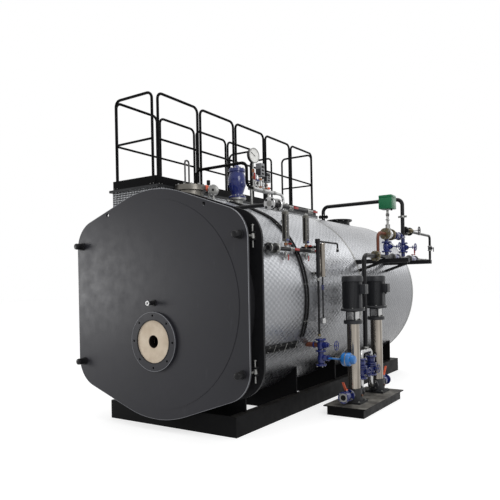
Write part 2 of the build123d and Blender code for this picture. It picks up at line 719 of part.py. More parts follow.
with BuildPart() as near_rails:
    for step in range(NEAR_COUNT):
        frame_start = NEAR_START + step * NEAR_PITCH
        rail_frame((RAIL_NEAR_X, back(frame_start)), (RAIL_NEAR_X, back(frame_start + NEAR_LENGTH)))

with BuildPart() as far_rails:
    for step in range(FAR_COUNT):
        frame_start = FAR_START + step * FAR_PITCH
        rail_frame((RAIL_FAR_X, back(frame_start)), (RAIL_FAR_X, back(frame_start + FAR_LENGTH)))

with BuildPart() as end_rails:
    for rail_back in (END_RAIL_FRONT, END_RAIL_REAR):
        rail_start = (RAIL_FAR_X + END_RAIL_INSET, back(rail_back))
        rail_frame(rail_start, (RAIL_NEAR_X - END_RAIL_INSET, back(rail_back)))

with BuildPart() as landing_rails:
    for rail_back in (LANDING_FRONT + LANDING_RAIL_INSET, LANDING_REAR - LANDING_RAIL_INSET):
        rail_end = (WALKWAY_LEFT + LANDING_RAIL_INSET, back(rail_back))
        rail_frame((LANDING_LEFT + LANDING_RAIL_INSET, back(rail_back)), rail_end)

toe_z = (DECK_Z, DECK_Z + TOE_HEIGHT)
with BuildPart() as toe_boards:
    near_face = RAIL_NEAR_X + RAIL_RADIUS
    far_face = RAIL_FAR_X - RAIL_RADIUS
    front_face = END_RAIL_FRONT - RAIL_RADIUS * math.cos(math.pi / RAIL_SIDES)
    block((near_face, near_face + TOE_THICKNESS), (back(front_face), back(WALKWAY_REAR)), toe_z)
    block((far_face - TOE_THICKNESS, far_face), (back(front_face), back(LANDING_FRONT)), toe_z)
    block((far_face, near_face), (back(front_face - TOE_THICKNESS), back(front_face)), toe_z)

with BuildPart() as access_ladder:
    ladder_back = (LANDING_FRONT + LANDING_REAR) / 2
    for side in (-1, 1):
        stile_y = back(ladder_back + side * LADDER_GAUGE / 2)
        y_span = (stile_y - LADDER_STILE_WIDTH / 2, stile_y + LADDER_STILE_WIDTH / 2)
        block((LANDING_LEFT - LADDER_STILE_DEPTH, LANDING_LEFT), y_span, (0, DECK_Z))
    rung_x = LANDING_LEFT - LADDER_STILE_DEPTH / 2
    for step in range(1, int(DECK_Z / LADDER_RUNG_PITCH) + 1):
        rung_z = DECK_Z - LADDER_RUNG_PITCH * step
        rung_start = at(rung_x, ladder_back - LADDER_GAUGE / 2, rung_z)
        bar(rung_start, at(rung_x, ladder_back + LADDER_GAUGE / 2, rung_z), LADDER_RUNG_RADIUS, RAIL_SIDES)

# Steam fittings
valve_foot = at(STEAM_VALVE_X, STEAM_VALVE_BACK, STEAM_VALVE_FOOT_Z)


def stack(foot, stages, sides):
    """An upright body: each stage is its two radii and its low and high heights above the foot."""
    for low_radius, high_radius, low, high in stages:
        with BuildSketch(Plane(origin=Vector(*foot) + Vector(0, 0, low))) as low_section:
            RegularPolygon(low_radius, sides)
        with BuildSketch(Plane(origin=Vector(*foot) + Vector(0, 0, high))) as high_section:
            RegularPolygon(high_radius, sides)
        loft([low_section.sketch.face(), high_section.sketch.face()])


with BuildPart() as steam_valve:
    cap_top = STEAM_BODY_HEIGHT + STEAM_CAP_THICKNESS
    steam_stages = (
        (STEAM_FLANGE_RADIUS, STEAM_FLANGE_RADIUS, 0, STEAM_FLANGE_THICKNESS),
        (STEAM_NECK_RADIUS, STEAM_BELLY_RADIUS, STEAM_FLANGE_THICKNESS, STEAM_BELLY_LOW),
        (STEAM_BELLY_RADIUS, STEAM_BELLY_RADIUS, STEAM_BELLY_LOW, STEAM_BELLY_HIGH),
        (STEAM_BELLY_RADIUS, STEAM_NECK_RADIUS, STEAM_BELLY_HIGH, STEAM_BODY_HEIGHT),
        (STEAM_CAP_RADIUS, STEAM_CAP_RADIUS, STEAM_BODY_HEIGHT, cap_top),
        (STEAM_BONNET_RADIUS, STEAM_BONNET_RADIUS, cap_top, cap_top + STEAM_BONNET_HEIGHT),
    )
    stack(valve_foot, steam_stages, ROUND_SIDES)

with BuildPart() as steam_nozzle:
    bar(at(STEAM_VALVE_X, STEAM_VALVE_BACK, AXIS_Z), valve_foot, STEAM_NECK_RADIUS)
    clear_of_shell()
    flange_foot = at(STEAM_VALVE_X, STEAM_VALVE_BACK, STEAM_VALVE_FOOT_Z - STEAM_FLANGE_THICKNESS)
    bar(flange_foot, valve_foot, STEAM_FLANGE_RADIUS, ROUND_SIDES)

with BuildPart() as manhole:
    manhole_top = at(MANHOLE_X, MANHOLE_BACK, MANHOLE_TOP_Z)
    bar(at(MANHOLE_X, MANHOLE_BACK, AXIS_Z), manhole_top, MANHOLE_NECK_RADIUS, ROUND_SIDES)
    clear_of_shell()
    cover_foot = at(MANHOLE_X, MANHOLE_BACK, MANHOLE_TOP_Z - MANHOLE_COVER_THICKNESS)
    bar(cover_foot, manhole_top, MANHOLE_RADIUS, DRUM_SIDES)
    hoop_front = MANHOLE_BACK - HOOP_OFFSET
    hoop_z = MANHOLE_TOP_Z + HOOP_HEIGHT
    hoop_points = (
        at(MANHOLE_X, hoop_front, MANHOLE_TOP_Z),
        at(MANHOLE_X, hoop_front, hoop_z),
        at(MANHOLE_X, hoop_front + HOOP_SPAN, hoop_z),
        at(MANHOLE_X, hoop_front + HOOP_SPAN, MANHOLE_TOP_Z),
    )
    pipe_run(hoop_points, HOOP_RADIUS, HOOP_BEND, RAIL_SIDES)

with BuildPart() as balance_pipe:
    balance_points = (
        at(MANHOLE_X, BALANCE_BACK, MANHOLE_TOP_Z),
        at(MANHOLE_X, BALANCE_BACK, BALANCE_HIGH_Z),
        at(BALANCE_X, BALANCE_BACK, BALANCE_HIGH_Z),
        at(BALANCE_X, BALANCE_BACK, BALANCE_LOW_Z),
        at(BALANCE_X, BALANCE_END, BALANCE_LOW_Z),
        at(BALANCE_X, BALANCE_END, AXIS_Z),
    )
    pipe_run(balance_points, BALANCE_RADIUS, BALANCE_BEND, PIPE_SIDES)
    clear_of_shell()

with BuildPart() as instrument_header:
    lengthwise(HEADER_X, (HEADER_FRONT, HEADER_REAR), HEADER_Z, HEADER_RADIUS, PIPE_SIDES)
    for stub_back in (HEADER_FRONT + HEADER_STUB_INSET, HEADER_REAR - HEADER_STUB_INSET):
        post(HEADER_X, stub_back, (AXIS_Z, HEADER_Z), HEADER_STUB_RADIUS, PIPE_SIDES)
    clear_of_shell()

header_top = HEADER_Z + HEADER_RADIUS
with BuildPart() as pressure_gauge:
    facing = Vector(math.cos(math.radians(GAUGE_TURN)), -math.sin(math.radians(GAUGE_TURN)), 0)
    gauge_centre = Vector(*at(HEADER_X, GAUGE_BACK, GAUGE_Z))
    gauge_front = gauge_centre + facing * (GAUGE_DEPTH / 2)
    bezel_rear = gauge_front - facing * GAUGE_BEZEL
    gauge_rear = gauge_centre - facing * (GAUGE_DEPTH / 2)
    bar(tuple(gauge_rear), tuple(bezel_rear), GAUGE_RADIUS - GAUGE_BEZEL, ROUND_SIDES)
    bar(tuple(bezel_rear), tuple(gauge_front), GAUGE_RADIUS, DRUM_SIDES)
    bar(at(HEADER_X, GAUGE_BACK, header_top), tuple(gauge_centre), GAUGE_STEM_RADIUS, PIPE_SIDES)

with BuildPart() as pressure_switches:
    for switch_back, rise, height in zip(SWITCH_BACKS, SWITCH_RISES, SWITCH_HEIGHTS):
        low_z = HEADER_Z + rise
        x_span = (HEADER_X - SWITCH_WIDTH / 2, HEADER_X + SWITCH_WIDTH / 2)
        y_span = (back(switch_back) - SWITCH_WIDTH / 2, back(switch_back) + SWITCH_WIDTH / 2)
        block(x_span, y_span, (low_z, low_z + height))
        post(HEADER_X, switch_back, (header_top, low_z), SWITCH_STEM_RADIUS)

# Water level fittings
with BuildPart() as level_manifolds:
    for front, rear, pipe_z, flange_radius in (
        (LEVEL_HIGH_FRONT, LEVEL_HIGH_REAR, LEVEL_HIGH_Z, LEVEL_HIGH_FLANGE_RADIUS),
        (LEVEL_LOW_FRONT, LEVEL_LOW_REAR, LEVEL_LOW_Z, LEVEL_LOW_FLANGE_RADIUS),
    ):
        lengthwise(LEVEL_X, (front, rear), pipe_z, LEVEL_PIPE_RADIUS, PIPE_SIDES)
        nozzle_back = front + LEVEL_NOZZLE_INSET
        across((0, LEVEL_X), nozzle_back, pipe_z, LEVEL_PIPE_RADIUS, PIPE_SIDES)
        flange_front = front + LEVEL_FLANGE_INSET
        flange_rear = flange_front + LEVEL_FLANGE_THICKNESS
        lengthwise(LEVEL_X, (flange_front, flange_rear), pipe_z, flange_radius)
        lengthwise(LEVEL_X, (front - LEVEL_FLANGE_THICKNESS, front), pipe_z, flange_radius)
    clear_of_shell()

with BuildPart() as level_gauges:
    stem_span = (LEVEL_LOW_Z + LEVEL_PIPE_RADIUS + SEAT_GAP, LEVEL_HIGH_Z - LEVEL_PIPE_RADIUS - SEAT_GAP)
    for column_back in COLUMN_BACKS:
        x_span = (LEVEL_X - COLUMN_DEPTH / 2, LEVEL_X + COLUMN_DEPTH / 2)
        y_span = (back(column_back) - COLUMN_WIDTH / 2, back(column_back) + COLUMN_WIDTH / 2)
        column_z = (stem_span[0] + COLUMN_INSET, stem_span[1] - COLUMN_INSET / 2)
        block(x_span, y_span, column_z)
        post(LEVEL_X, column_back, (stem_span[0], stem_span[1]), COLUMN_STEM_RADIUS, PIPE_SIDES)
        cock_z = stem_span[0] + COLUMN_INSET / 2
        across((LEVEL_X, LEVEL_X + COCK_LENGTH), column_back, cock_z, COCK_RADIUS, PIPE_SIDES)


def tappings(column_back):
    """The short pipes that join a column to the shell near its ends."""
    for tapping_z in (PROBE_LOW_Z + TAPPING_INSET, PROBE_HIGH_Z - TAPPING_INSET):
        across((0, PROBE_X), column_back, tapping_z, TAPPING_RADIUS, PIPE_SIDES)


with BuildPart() as probe_column:
    tappings(PROBE_BACK)
    post(PROBE_X, PROBE_BACK, (PROBE_LOW_Z, PROBE_TOP_Z), PROBE_RADIUS, PIPE_SIDES)
    head_foot = at(PROBE_X, PROBE_BACK, PROBE_TOP_Z - PROBE_HEAD_HEIGHT)
    bar(head_foot, at(PROBE_X, PROBE_BACK, PROBE_TOP_Z), PROBE_HEAD_RADIUS, PIPE_SIDES)
    clear_of_shell()
    arm_z = PROBE_TOP_Z - PROBE_ARM_DROP
    gland_z = arm_z - PROBE_GLAND_DROP
    arm_points = (
        at(PROBE_X, PROBE_BACK, arm_z),
        at(PROBE_X, PROBE_ARM_END, arm_z),
        at(PROBE_X, PROBE_ARM_END, gland_z),
    )
    pipe_run(arm_points, PROBE_ARM_RADIUS, PROBE_ARM_BEND, RAIL_SIDES)
    post(PROBE_X, PROBE_ARM_END, (gland_z, gland_z + PROBE_GLAND_HEIGHT), PROBE_GLAND_RADIUS, RAIL_SIDES)

with BuildPart() as sample_chamber:
    tappings(CHAMBER_BACK)
    post(PROBE_X, CHAMBER_BACK, (PROBE_LOW_Z, PROBE_HIGH_Z), CHAMBER_RADIUS)
    for cap_low in (PROBE_LOW_Z, PROBE_HIGH_Z - CHAMBER_CAP_HEIGHT):
        cap_high = cap_low + CHAMBER_CAP_HEIGHT
        post(PROBE_X, CHAMBER_BACK, (cap_low, cap_high), CHAMBER_CAP_RADIUS)
    clear_of_shell()

with BuildPart() as drain_lines:
    drain_points = (
        at(PROBE_X, PROBE_BACK, PROBE_LOW_Z),
        at(PROBE_X, PROBE_BACK, BLOWDOWN_HIGH_Z + 2 * DRAIN_RADIUS),
    )
    bar(*drain_points, DRAIN_RADIUS, PIPE_SIDES)
    post(PROBE_X, CHAMBER_BACK, (FUNNEL_Z, PROBE_LOW_Z), DRAIN_THIN_RADIUS, PIPE_SIDES)
    post(PROBE_X, CHAMBER_BACK, (FUNNEL_Z - FUNNEL_HEIGHT, FUNNEL_Z), FUNNEL_RADIUS)

# Blowdown valve with its hand wheel and its actuator
def handwheel(rim_plane):
    """A flat rimmed wheel with a cross of spokes, on a plane through its hub."""
    with BuildSketch(rim_plane) as wheel:
        RegularPolygon(WHEEL_RADIUS, BODY_SIDES)
        RegularPolygon(WHEEL_RADIUS - WHEEL_RIM, BODY_SIDES, mode=Mode.SUBTRACT)
        Rectangle(2 * (WHEEL_RADIUS - WHEEL_RIM / 2), WHEEL_RIM)
        Rectangle(WHEEL_RIM, 2 * (WHEEL_RADIUS - WHEEL_RIM / 2))
    extrude(wheel.sketch, amount=WHEEL_THICKNESS)


with BuildPart() as blowdown_valve:
    post(BLOWDOWN_X, BLOWDOWN_BACK, (BLOWDOWN_LOW_Z, BLOWDOWN_HIGH_Z), BLOWDOWN_BODY_RADIUS)
    for flange_low in (BLOWDOWN_LOW_Z, BLOWDOWN_MIDDLE_Z, BLOWDOWN_HIGH_Z - BLOWDOWN_FLANGE_THICKNESS):
        flange_high = flange_low + BLOWDOWN_FLANGE_THICKNESS
        post(BLOWDOWN_X, BLOWDOWN_BACK, (flange_low, flange_high), BLOWDOWN_FLANGE_RADIUS)
    across((0, BLOWDOWN_X), BLOWDOWN_BACK, BLOWDOWN_PIPE_Z, BLOWDOWN_PIPE_RADIUS)
    clear_of_shell()
    bonnet_end = BLOWDOWN_X + BLOWDOWN_BONNET_REACH
    for stem_z in (BLOWDOWN_STEM_Z, BLOWDOWN_PIPE_Z):
        across((BLOWDOWN_X, bonnet_end), BLOWDOWN_BACK, stem_z, BLOWDOWN_BONNET_RADIUS, PIPE_SIDES)
    hub_x = BLOWDOWN_X + BLOWDOWN_WHEEL_REACH
    across((BLOWDOWN_X, hub_x), BLOWDOWN_BACK, BLOWDOWN_PIPE_Z, STEM_RADIUS, RAIL_SIDES)
    handwheel(Plane(origin=at(hub_x, BLOWDOWN_BACK, BLOWDOWN_PIPE_Z), z_dir=(1, 0, 0)))

with BuildPart() as blowdown_actuator:
    yoke_end = bonnet_end + YOKE_LENGTH
    drum_end = yoke_end + BLOWDOWN_DRUM_LENGTH
    for side in (-1, 0, 1):
        yoke_back = BLOWDOWN_BACK + side * YOKE_SPREAD
        across((bonnet_end, yoke_end), yoke_back, BLOWDOWN_STEM_Z, YOKE_RADIUS, PIPE_SIDES)
    across((yoke_end, drum_end), BLOWDOWN_BACK, BLOWDOWN_STEM_Z, BLOWDOWN_DRUM_RADIUS, ROUND_SIDES)
    cap_end = drum_end + BLOWDOWN_CAP_LENGTH
    across((drum_end, cap_end), BLOWDOWN_BACK, BLOWDOWN_STEM_Z, BLOWDOWN_CAP_RADIUS)

conduit_path_radius = SHELL_RADIUS + SEAT_GAP + CONDUIT_RADIUS
with BuildPart() as control_conduits:
    low_angle = math.radians(CONDUIT_LOW_ANGLE)
    outward = (math.cos(low_angle), 0, math.sin(low_angle))
    upward = (-math.sin(low_angle), 0, math.cos(low_angle))
    for conduit_back in CONDUIT_BACKS:
        with BuildSketch(Plane(origin=at(0, conduit_back, AXIS_Z), x_dir=outward, z_dir=upward)):
            with Locations((conduit_path_radius, 0)):
                RegularPolygon(CONDUIT_RADIUS, RAIL_SIDES)
        shell_axis = Axis(at(0, 0, AXIS_Z), (0, -1, 0))
        revolve(axis=shell_axis, revolution_arc=CONDUIT_HIGH_ANGLE - CONDUIT_LOW_ANGLE)
    for run_angle in CONDUIT_RUN_ANGLES:
        run_x = conduit_path_radius * math.cos(math.radians(run_angle))
        run_z = AXIS_Z + conduit_path_radius * math.sin(math.radians(run_angle))
        lengthwise(run_x, (CONDUIT_RUN_FRONT, CONDUIT_RUN_REAR), run_z, CONDUIT_RADIUS, RAIL_SIDES)

# Pump set
with BuildPart() as pump_skid:
    skid_x = (PUMP_X - SKID_HALF_WIDTH, PUMP_X + SKID_HALF_WIDTH)
    plate_low = SKID_HEIGHT - SKID_PLATE
    block(skid_x, (back(SKID_FRONT), back(SKID_REAR)), (plate_low, SKID_HEIGHT))
    frame_x = (skid_x[0] + SKID_INSET, skid_x[1] - SKID_INSET)
    frame_y = (back(SKID_FRONT + SKID_INSET), back(SKID_REAR - SKID_INSET))
    block(frame_x, frame_y, (0, plate_low))
    bay_x = (frame_x[0] + SKID_RAIL, frame_x[1] - SKID_RAIL)
    bay_y = (frame_y[0] + SKID_RAIL, frame_y[1] - SKID_RAIL)
    block(bay_x, bay_y, (0, plate_low), Mode.SUBTRACT)

with BuildPart() as pump_bases:
    for pump_back in PUMP_BACKS:
        foot_x = (PUMP_X - PUMP_FOOT_HALF_WIDTH, PUMP_X + PUMP_FOOT_HALF_WIDTH)
        foot_y = (back(pump_back - PUMP_FOOT_HALF_WIDTH), back(pump_back + PUMP_FOOT_HALF_WIDTH))
        block(foot_x, foot_y, (SKID_HEIGHT, SKID_HEIGHT + PUMP_FOOT_THICKNESS))
        post(PUMP_X, pump_back, (SKID_HEIGHT, PUMP_BASE_Z), PUMP_BASE_RADIUS, ROUND_SIDES)
        for side in (-1, 1):
            nozzle_end = at(PUMP_X, pump_back + side * PUMP_NOZZLE_REACH, PUMP_NOZZLE_Z)
            bar(at(PUMP_X, pump_back, PUMP_NOZZLE_Z), nozzle_end, SUCTION_BODY_RADIUS, PIPE_SIDES)
            flange_reach = PUMP_NOZZLE_REACH - FEED_FLANGE_THICKNESS
            bar(at(PUMP_X, pump_back + side * flange_reach, PUMP_NOZZLE_Z), nozzle_end, FEED_FLANGE_RADIUS)

with BuildPart() as pump_tubes:
    for pump_back in PUMP_BACKS:
        post(PUMP_X, pump_back, (PUMP_BASE_Z, PUMP_HEAD_Z), PUMP_TUBE_RADIUS, ROUND_SIDES)

with BuildPart() as pump_heads:
    head_top = PUMP_HEAD_Z + PUMP_HEAD_THICKNESS
    for pump_back in PUMP_BACKS:
        post(PUMP_X, pump_back, (PUMP_HEAD_Z, head_top), PUMP_HEAD_RADIUS, ROUND_SIDES)
        wall_x = (PUMP_X - LANTERN_HALF_WIDTH, PUMP_X + LANTERN_HALF_WIDTH)
        for wall_low in (pump_back - LANTERN_HALF_WIDTH - LANTERN_WALL, pump_back + LANTERN_HALF_WIDTH):
            block(wall_x, (back(wall_low), back(wall_low + LANTERN_WALL)), (head_top, MOTOR_FLANGE_Z))
        post(PUMP_X, pump_back, (head_top, MOTOR_FLANGE_Z), COUPLING_RADIUS)

with BuildPart() as pump_motors:
    flange_top = MOTOR_FLANGE_Z + MOTOR_FLANGE_THICKNESS
    for pump_back in PUMP_BACKS:
        post(PUMP_X, pump_back, (MOTOR_FLANGE_Z, flange_top), MOTOR_FLANGE_RADIUS, ROUND_SIDES)
        post(PUMP_X, pump_back, (flange_top, MOTOR_TOP_Z), MOTOR_RADIUS, ROUND_SIDES)
        cowl_foot = at(PUMP_X, pump_back, MOTOR_TOP_Z - MOTOR_COWL_HEIGHT)
        bar(cowl_foot, at(PUMP_X, pump_back, MOTOR_TOP_Z), MOTOR_COWL_RADIUS, ROUND_SIDES)
        box_x = (PUMP_X, PUMP_X + MOTOR_RADIUS + TERMINAL_BOX_DEPTH)
        box_y = (back(pump_back - TERMINAL_BOX_HALF_WIDTH), back(pump_back + TERMINAL_BOX_HALF_WIDTH))
        block(box_x, box_y, (TERMINAL_BOX_Z, TERMINAL_BOX_Z + TERMINAL_BOX_HEIGHT))

branch_backs = (
    PUMP_BACKS[0] + PUMP_NOZZLE_REACH + BRANCH_INSET,
    PUMP_BACKS[1] - PUMP_NOZZLE_REACH - BRANCH_INSET,
)
suction_sides = dict(zip(PUMP_BACKS, (-1, 1)))
suction_end = PUMP_NOZZLE_REACH + 2 * FEED_FLANGE_THICKNESS + SUCTION_BODY_LENGTH
lever_foot_z = PUMP_NOZZLE_Z + SUCTION_STEM_RISE
stem_reach = PUMP_NOZZLE_REACH + FEED_FLANGE_THICKNESS + SUCTION_BODY_LENGTH / 2
with BuildPart() as suction_valves:
    for pump_back, side in suction_sides.items():
        valve_start = at(PUMP_X, pump_back + side * PUMP_NOZZLE_REACH, PUMP_NOZZLE_Z)
        bar(valve_start, at(PUMP_X, pump_back + side * suction_end, PUMP_NOZZLE_Z), SUCTION_BODY_RADIUS)
        for flange_reach in (PUMP_NOZZLE_REACH, suction_end - FEED_FLANGE_THICKNESS):
            flange_start = at(PUMP_X, pump_back + side * flange_reach, PUMP_NOZZLE_Z)
            flange_end = at(PUMP_X, pump_back + side * (flange_reach + FEED_FLANGE_THICKNESS), PUMP_NOZZLE_Z)
            bar(flange_start, flange_end, FEED_FLANGE_RADIUS)
        stem_back = pump_back + side * stem_reach
        post(PUMP_X, stem_back, (PUMP_NOZZLE_Z, lever_foot_z), STEM_RADIUS, PIPE_SIDES)


def suction_lever(pump_back):
    """A quarter turn lever: a hub on the stem and a flat handle that slopes up from it."""
    side = suction_sides[pump_back]
    stem_y = back(pump_back + side * stem_reach)
    bar((PUMP_X, stem_y, lever_foot_z), (PUMP_X, stem_y, lever_foot_z + LEVER_HUB_HEIGHT), LEVER_HUB_RADIUS)
    side_plane = Plane(origin=(PUMP_X, stem_y, lever_foot_z), x_dir=(0, side, 0), z_dir=(side, 0, 0))
    with BuildSketch(side_plane) as handle:
        with BuildLine():
            Polyline(
                (0, 0),
                (LEVER_HUB_RADIUS, 0),
                (LEVER_REACH, LEVER_RISE),
                (LEVER_REACH - LEVER_HUB_HEIGHT, LEVER_RISE),
                (LEVER_HUB_RADIUS - LEVER_HUB_HEIGHT / 2, LEVER_HUB_HEIGHT),
                (0, LEVER_HUB_HEIGHT),
                close=True,
            )
        make_face()
    extrude(handle.sketch, amount=LEVER_HALF_WIDTH, both=True)


with BuildPart() as suction_lever_front:
    suction_lever(PUMP_BACKS[0])

with BuildPart() as suction_lever_rear:
    suction_lever(PUMP_BACKS[1])

with BuildPart() as discharge_manifold:
    manifold_points = (
        at(PUMP_X, PUMP_BACKS[0] + PUMP_NOZZLE_REACH, PUMP_NOZZLE_Z),
        at(PUMP_X, branch_backs[0], PUMP_NOZZLE_Z),
        at(PUMP_X, branch_backs[0], BRANCH_HEADER_Z),
        at(PUMP_X, branch_backs[1], BRANCH_HEADER_Z),
        at(PUMP_X, branch_backs[1], PUMP_NOZZLE_Z),
        at(PUMP_X, PUMP_BACKS[1] - PUMP_NOZZLE_REACH, PUMP_NOZZLE_Z),
    )
    pipe_run(manifold_points, FEED_RADIUS, BRANCH_BEND)


with BuildPart() as discharge_valves:
    for branch_back in branch_backs:
        post(PUMP_X, branch_back, (CHECK_LOW_Z, CHECK_HIGH_Z), CHECK_RADIUS)
        for flange_low in (CHECK_LOW_Z, CHECK_HIGH_Z - FEED_FLANGE_THICKNESS):
            flange_high = flange_low + FEED_FLANGE_THICKNESS
            post(PUMP_X, branch_back, (flange_low, flange_high), CHECK_FLANGE_RADIUS)
        check_middle = (CHECK_LOW_Z + CHECK_HIGH_Z) / 2
        bonnet_end = at(PUMP_X + CHECK_BONNET_REACH, branch_back, check_middle)
        bar(at(PUMP_X, branch_back, check_middle), bonnet_end, CHECK_BONNET_RADIUS, PIPE_SIDES)
        bore_radius = FEED_RADIUS + SEAT_GAP
        post(PUMP_X, branch_back, (CHECK_LOW_Z, CHECK_HIGH_Z), bore_radius, PIPE_SIDES, Mode.SUBTRACT)

# Feed water station
with BuildPart() as feed_riser:
    riser_back = sum(branch_backs) / 2
    riser_points = (
        at(PUMP_X, riser_back, BRANCH_HEADER_Z + FEED_RADIUS + SEAT_GAP),
        at(PUMP_X, riser_back, FEED_LOW_Z),
        at(PUMP_X, FEED_END, FEED_LOW_Z),
    )
    pipe_run(riser_points, FEED_RADIUS, FEED_BEND)
    flange_end = at(PUMP_X, RISER_FLANGE_BACK + 2 * FEED_FLANGE_THICKNESS, FEED_LOW_Z)
    bar(at(PUMP_X, RISER_FLANGE_BACK, FEED_LOW_Z), flange_end, FEED_FLANGE_RADIUS)
    stem_top = at(PUMP_X, STATION_LEVER_BACK, FEED_LOW_Z + STATION_STEM_RISE)
    bar(at(PUMP_X, STATION_LEVER_BACK, FEED_LOW_Z), stem_top, STEM_RADIUS)

with BuildPart() as station_brackets:
    bracket_top = FEED_LOW_Z - FEED_RADIUS
    bracket_low = bracket_top - BRACKET_HEIGHT
    for bracket_back in BRACKET_BACKS:
        y_span = (back(bracket_back - BRACKET_HALF_WIDTH), back(bracket_back + BRACKET_HALF_WIDTH))
        block((0, SHELL_RADIUS + BRACKET_REACH), y_span, (bracket_low, bracket_top))
        strut_head = at(SHELL_RADIUS + BRACKET_STRUT_REACH, bracket_back, bracket_low + BRACKET_STRUT_RADIUS)
        strut_foot = at(SHELL_RADIUS - BRACKET_STRUT_REACH, bracket_back, bracket_low - BRACKET_STRUT_DROP)
        bar(strut_head, strut_foot, BRACKET_STRUT_RADIUS, PIPE_SIDES)
    clear_of_shell()

with BuildPart() as control_valve:
    elbow_points = (
        at(PUMP_X, ELBOW_BACK, FEED_LOW_Z + FEED_RADIUS + SEAT_GAP),
        at(PUMP_X, ELBOW_BACK, FEED_HIGH_Z),
        at(PUMP_X, GLOBE_BACKS[1] + FEED_RADIUS, FEED_HIGH_Z),
    )
    pipe_run(elbow_points, FEED_RADIUS, FEED_BEND)
    body_front = CONTROL_BACK - CONTROL_BODY_LENGTH / 2
    body_rear = CONTROL_BACK + CONTROL_BODY_LENGTH / 2
    lengthwise(PUMP_X, (body_front, body_rear), FEED_HIGH_Z, CONTROL_BODY_RADIUS)
    for flange_back in (body_front - FEED_FLANGE_THICKNESS, body_rear):
        flange_end = at(PUMP_X, flange_back + FEED_FLANGE_THICKNESS, FEED_HIGH_Z)
        bar(at(PUMP_X, flange_back, FEED_HIGH_Z), flange_end, CONTROL_FLANGE_RADIUS)
    actuator_foot = FEED_HIGH_Z + ACTUATOR_RISE
    post(PUMP_X, CONTROL_BACK, (FEED_HIGH_Z, actuator_foot), STEM_RADIUS, PIPE_SIDES)
    bonnet_top = FEED_HIGH_Z + CONTROL_BODY_RADIUS + CONTROL_BONNET_HEIGHT
    post(PUMP_X, CONTROL_BACK, (FEED_HIGH_Z, bonnet_top), CHECK_BONNET_RADIUS, PIPE_SIDES)
    for side in (-1, 1):
        post_back = CONTROL_BACK + side * YOKE_SPREAD
        post(PUMP_X, post_back, (FEED_HIGH_Z, actuator_foot), YOKE_RADIUS, PIPE_SIDES)

with BuildPart() as feed_actuator:
    half = ACTUATOR_SIZE / 2
    y_span = (back(CONTROL_BACK - half), back(CONTROL_BACK + half))
    block((PUMP_X - half, PUMP_X + half), y_span, (actuator_foot, actuator_foot + ACTUATOR_SIZE))
    chamfer(feed_actuator.edges().filter_by(Axis.Z), ACTUATOR_CHAMFER)

with BuildPart() as globe_valves:
    run_low = FEED_LOW_Z + FEED_RADIUS + SEAT_GAP
    run_tops = (FEED_HIGH_Z - CONTROL_BODY_RADIUS - SEAT_GAP, FEED_HIGH_Z - FEED_RADIUS - SEAT_GAP)
    for globe_back, run_high in zip(GLOBE_BACKS, run_tops):
        post(PUMP_X, globe_back, (run_low, run_high), FEED_RADIUS, PIPE_SIDES)
        middle = (run_low + run_high) / 2
        body_low = middle - GLOBE_BODY_LENGTH / 2
        body_high = middle + GLOBE_BODY_LENGTH / 2
        post(PUMP_X, globe_back, (body_low, body_high), GLOBE_BODY_RADIUS)
        for flange_low in (body_low - FEED_FLANGE_THICKNESS, body_high):
            flange_high = flange_low + FEED_FLANGE_THICKNESS
            post(PUMP_X, globe_back, (flange_low, flange_high), FEED_FLANGE_RADIUS)
        wheel_hub = at(PUMP_X + GLOBE_STEM_REACH, globe_back, middle)
        bar(at(PUMP_X, globe_back, middle), wheel_hub, STEM_RADIUS, PIPE_SIDES)
        handwheel(Plane(origin=wheel_hub, z_dir=(1, 0, 0)))

with BuildPart() as over_pipe:
    over_points = (
        at(OVER_PIPE_X, GLOBE_BACKS[1], AXIS_Z),
        at(OVER_PIPE_X, GLOBE_BACKS[1], OVER_PIPE_Z),
        at(PUMP_X, GLOBE_BACKS[1], OVER_PIPE_Z),
        at(PUMP_X, GLOBE_BACKS[1], FEED_HIGH_Z + FEED_RADIUS + SEAT_GAP),
    )
    pipe_run(over_points, FEED_RADIUS, FEED_BEND)
    clear_of_shell()
    flange_low = AXIS_Z + SHELL_RADIUS + OVER_FLANGE_RISE - FEED_FLANGE_THICKNESS
    flange_high = flange_low + 2 * FEED_FLANGE_THICKNESS
    post(OVER_PIPE_X, GLOBE_BACKS[1], (flange_low, flange_high), OVER_FLANGE_RADIUS)

